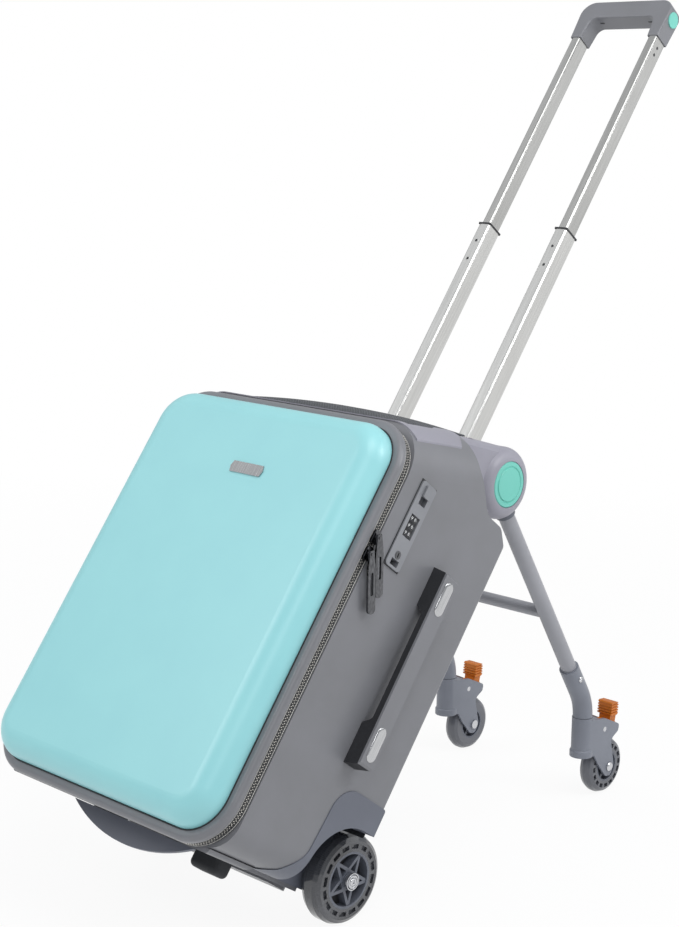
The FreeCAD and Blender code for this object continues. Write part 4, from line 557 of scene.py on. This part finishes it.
def grip_details():
    rivets = bmesh.new()
    slots = bmesh.new()
    for side in BOTH:
        for up in RIVETS_UP:
            face = on_case(side * (TUBE_SPREAD + UPPER_TUBE_WIDE / 2), up, RIVET_BACK)
            lathe(rivets, facing(face, side * ACROSS, CASE_UP), RIVET_PROFILE, SMALL_STEPS)
        underside = on_case(side * SLOT_SIDE, SLOT_UP, RIVET_BACK)
        soft_block(slots, facing(underside, -CASE_UP, ACROSS), SLOT_SIZE, SLOT_ROUND)
    piece("grip_rivets", rivets, "handle_upper", "black_plastic")
    piece("grip_slots", slots, "handle_upper", "black_plastic")


elbow_screws()
spring_buttons()
grip_details()

# Large wheels: bolt head with two bearing rings, and a black disc between the star bars as painted shade in
# the hub's hollow
BOLT_HEAD = [(0, 0.3), (1.6, 0.3), (2.0, 1.2), (3.6, 1.4), (4.2, 0.8), (4.4, -0.2)]
INNER_RING = [(4.9, -0.3), (5.2, 0.7), (6.6, 0.7), (7.0, -0.6)]
OUTER_RING = [(7.5, -0.8), (7.8, 0.4), (8.8, 0.4), (9.2, -1.2)]
BEARING_STEPS = 48
HUB_FLOOR = 134.5
# Thin black disc of painted shade for the hollow of each hub
SHADE_DISC_PROFILE = [(8.6, 0), (8.6, 0.2), (26.2, 0.2), (26.2, 0)]
SHADE_DISC_STEPS = 64


def bearings():
    for name, side in WHEEL_SIDES:
        low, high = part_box(f"wheel_axle_{name}")
        centre = (low + high) / 2
        centre.x = high.x if side > 0 else low.x
        place = facing(centre, side * ACROSS, CASE_UP)
        bm = bmesh.new()
        for profile in (BOLT_HEAD, INNER_RING, OUTER_RING):
            lathe(bm, place, profile, BEARING_STEPS)
        piece(f"bearing_rings_{name}", bm, "case", "bolt_chrome")


# Black disc on the hub's floor between the star bars: painted shade, drawn dark where the hollow lies in shade
def hub_liners():
    for name, side in WHEEL_SIDES:
        low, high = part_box(f"wheel_hub_{name}")
        centre = (low + high) / 2
        centre.x = side * HUB_FLOOR * MM
        bm = bmesh.new()
        lathe(bm, facing(centre, side * ACROSS, CASE_UP), SHADE_DISC_PROFILE, SHADE_DISC_STEPS)
        piece(f"hub_shade_disc_{name}", bm, f"wheel_{name}", "black_plastic")


bearings()
hub_liners()

# Black plate under the rear end of each wheel housing, just clear of the tyre: it closes the well where the
# housing's inner wall stands, and its black is painted shade for that wall
WELL_SHADE_MID = 139.6
WELL_SHADE_UP = 77.6
WELL_SHADE_BACK = CASE_DEPTH - 1.2
WELL_SHADE_SIZE = (1.6, 4.8, 40)
WELL_SHADE_ROUND = 0.4


# A plate of painted shade: black where the wheel well lies in shade
def wheel_lips():
    bm = bmesh.new()
    for side in BOTH:
        place = facing(on_case(side * WELL_SHADE_MID, WELL_SHADE_UP, WELL_SHADE_BACK), side * ACROSS, CASE_UP)
        soft_block(bm, place, WELL_SHADE_SIZE, WELL_SHADE_ROUND)
    piece("wheel_lips", bm, "case", "black_plastic")


wheel_lips()

# Side handle: domed chrome faces on its two inlays
DOMES_UP = (152, 308)
DOME_OUT = 190.2
DOME_BACK = 119
DOME_HALF = 6.9
DOME_RUN = 11
DOME_RISE = 1.6
DOME_RINGS = 8
DOME_STEPS = 32


def handle_domes():
    bm = bmesh.new()
    angles = [2 * pi * (step + 0.5) / DOME_STEPS for step in range(DOME_STEPS)]
    for up in DOMES_UP:
        place = facing(on_case(DOME_OUT, up, DOME_BACK), ACROSS, CASE_UP)
        rows = []
        for index in range(DOME_RINGS):
            turn = index / DOME_RINGS * pi / 2
            radius = DOME_HALF * cos(turn)
            row = []
            for angle in angles:
                shift = DOME_RUN if sin(angle) > 0 else -DOME_RUN
                spot = Vector((radius * cos(angle), radius * sin(angle) + shift, DOME_RISE * sin(turn)))
                row.append(bm.verts.new(place @ (spot * MM)))
            rows.append(row)
        for one, other in zip(rows, rows[1:]):
            skin(bm, one, other)
        bm.faces.new(rows[-1])
    piece("handle_domes", bm, "case", "nickel", DOME_FINISH, sharp=60)


handle_domes()

# Lock: a black frame in the groove round the plate, painted shade for the groove
LOCK_FACE = 170.2
LOCK_MID_UP = 350.5
LOCK_MID_BACK = 51
GROOVE_SHADE_LONG = 92.6
GROOVE_SHADE_WIDE = 25.6
GROOVE_SHADE_LINE = 2.4
GROOVE_SHADE_THICK = 0.9
GROOVE_SHADE_ROUND = 0.3


# Black frame of painted shade where the groove round the lock plate lies in shade
def lock_gasket():
    bm = bmesh.new()
    long_size = (GROOVE_SHADE_LINE, GROOVE_SHADE_LONG, GROOVE_SHADE_THICK)
    short_size = (GROOVE_SHADE_WIDE - 2 * GROOVE_SHADE_LINE, GROOVE_SHADE_LINE, GROOVE_SHADE_THICK)
    for end in BOTH:
        long_side = on_case(LOCK_FACE, LOCK_MID_UP, LOCK_MID_BACK + end * (GROOVE_SHADE_WIDE - GROOVE_SHADE_LINE) / 2)
        short_side = on_case(LOCK_FACE, LOCK_MID_UP + end * (GROOVE_SHADE_LONG - GROOVE_SHADE_LINE) / 2, LOCK_MID_BACK)
        for at, size in ((long_side, long_size), (short_side, short_size)):
            soft_block(bm, facing(at, ACROSS, CASE_UP), size, GROOVE_SHADE_ROUND)
    piece("lock_gasket", bm, "case", "black_plastic")


lock_gasket()

# Digits on the dials, ten to a wheel
DIALS = (1, 2, 3)
DIGITS = 10
DIGIT_RADIUS = 6.4
DIGIT_SIZE = 4.4
DIGIT_RAISE = 0.12


def digit_mesh(digit):
    """Raised figure, centred on its middle and facing up."""
    figure = bpy.data.curves.new("digit", "FONT")
    figure.body = str(digit)
    figure.size = DIGIT_SIZE * MM
    figure.extrude = DIGIT_RAISE * MM
    figure.resolution_u = 3
    figure.align_x = "CENTER"
    figure.align_y = "CENTER"
    holder = bpy.data.objects.new("digit", figure)
    bpy.context.scene.collection.objects.link(holder)
    bpy.context.view_layer.update()
    mesh = bpy.data.meshes.new_from_object(holder)
    bpy.data.objects.remove(holder)
    bpy.data.curves.remove(figure)
    return mesh


def dial_digits():
    for index in DIALS:
        low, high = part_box(f"digit_wheel_{index}")
        centre = (low + high) / 2
        bm = bmesh.new()
        for digit in range(DIGITS):
            turn = 2 * pi * digit / DIGITS
            out = cos(turn) * ACROSS + sin(turn) * CASE_BACK
            mesh = digit_mesh(digit)
            mesh.transform(facing(centre + out * DIGIT_RADIUS * MM, out, CASE_UP))
            bm.from_mesh(mesh)
            bpy.data.meshes.remove(mesh)
        piece(f"dial_digits_{index}", bm, f"digit_{index}", "lock_gray", DIGIT_PAINT)


dial_digits()

# Floor and surroundings, in metres. The paper is seen as white, with a share of plain paper
# near the piece that keeps its shadow.
FLOOR_HALF = 30
SHADOW_NEAR = 0.7
SHADOW_FAR = 2.2
WHITE_NEAR = 0.92
AMBIENT = 0.58
EITHER = {"operation": "MAXIMUM"}


def paper_floor():
    bm = bmesh.new()
    bmesh.ops.create_grid(bm, x_segments=1, y_segments=1, size=FLOOR_HALF)
    mesh = bpy.data.meshes.new("floor")
    bm.to_mesh(mesh)
    bm.free()
    floor = bpy.data.objects.new("floor", mesh)
    bpy.context.scene.collection.objects.link(floor)
    paper, tree, place = blank("white_paper_sweep")
    matt = add(tree, "BsdfDiffuse", Color=linear("#F4F4F4"))
    white = add(tree, "Emission", Color=linear("#FFFFFF"), Strength=1.0)
    path = add(tree, "LightPath").outputs
    seen = add(tree, "Math", EITHER, i0=path["Is Camera Ray"], i1=path["Is Glossy Ray"])
    seen = add(tree, "Math", EITHER, i0=seen.outputs["Value"], i1=path["Is Transmission Ray"])
    far = add(tree, "VectorMath", {"operation": "LENGTH"}, i0=place)
    fade = add(
        tree, "MapRange", Value=far.outputs["Value"],
        From_Min=SHADOW_NEAR, From_Max=SHADOW_FAR, To_Min=WHITE_NEAR, To_Max=1.0
    )
    times = {"operation": "MULTIPLY"}
    share = add(tree, "Math", times, i0=seen.outputs["Value"], i1=fade.outputs["Result"]).outputs["Value"]
    mix = add(tree, "MixShader", i0=share, i1=matt.outputs["BSDF"], i2=white.outputs["Emission"])
    add(tree, "OutputMaterial", Surface=mix.outputs["Shader"])
    mesh.materials.append(paper)


def pale_room():
    world = bpy.data.worlds.new("studio")
    bpy.context.scene.world = world
    world.use_nodes = True
    tree = world.node_tree
    tree.nodes.clear()
    path = add(tree, "LightPath").outputs
    seen = add(tree, "Math", EITHER, i0=path["Is Camera Ray"], i1=path["Is Transmission Ray"]).outputs["Value"]
    dim = add(tree, "Background", Color=linear("#F2F4F7"), Strength=AMBIENT).outputs["Background"]
    white = add(tree, "Background", Color=linear("#FFFFFF"), Strength=1.0).outputs["Background"]
    mix = add(tree, "MixShader", i0=seen, i1=dim, i2=white)
    add(tree, "OutputWorld", Surface=mix.outputs["Shader"])


paper_floor()
pale_room()

# Square softboxes: place, aim, side in metres and watts
SOFTBOXES = {
    "key": ((-1.3, -1.8, 2.0), (-0.05, -0.05, 0.4), 0.9, 16),
    "top": ((0.9, -0.2, 2.5), (0, 0.05, 0.5), 1.2, 17),
    "side": ((1.6, -1.4, 1.9), (0.1, 0, 0.5), 0.6, 6),
    "left": ((-1.9, -0.3, 2.3), (0, 0.4, 0.7), 1.8, 4),
    "rear": ((1.6, 2.0, 1.4), (0, 0.3, 0.6), 1.6, 6),
    "edge": ((0.95, 0.5, 1.05), (0.17, 0.12, 0.48), 0.4, 4),
}


def softboxes():
    for name, (at, aim, side, power) in SOFTBOXES.items():
        lamp = bpy.data.lights.new(name, "AREA")
        lamp.shape = "SQUARE"
        lamp.size = side
        lamp.energy = power
        holder = bpy.data.objects.new(name, lamp)
        bpy.context.scene.collection.objects.link(holder)
        holder.location = at
        holder.visible_camera = False
        holder.rotation_mode = "QUATERNION"
        holder.rotation_quaternion = (Vector(aim) - Vector(at)).to_track_quat("-Z", "Y")


softboxes()

# Camera of the photograph, with its angles in radians
CAMERA_AT = Vector((1.28353, -1.20886, 0.78658))
HEADING = 0.7646577669
PITCH = 0.1911580110
ROLL = 0.0143109847
FOCAL_PIXELS = 1793.2
FRAME_TALL = 927
SENSOR_MM = 36


def photo_camera():
    across = Vector((cos(HEADING), sin(HEADING), 0))
    ahead = Vector((-sin(HEADING) * cos(PITCH), cos(HEADING) * cos(PITCH), -sin(PITCH)))
    above = across.cross(ahead)
    right = cos(ROLL) * across + sin(ROLL) * above
    up = cos(ROLL) * above - sin(ROLL) * across
    lens = bpy.data.cameras.new("photo_view")
    lens.sensor_width = SENSOR_MM
    lens.lens = FOCAL_PIXELS / FRAME_TALL * SENSOR_MM
    lens.clip_start = 0.05
    lens.clip_end = 100
    camera = bpy.data.objects.new("photo_view", lens)
    bpy.context.scene.collection.objects.link(camera)
    camera.matrix_world = Matrix.Translation(CAMERA_AT) @ Matrix((right, up, -ahead)).transposed().to_4x4()
    bpy.context.scene.camera = camera


photo_camera()
bpy.context.scene.view_settings.view_transform = "Standard"
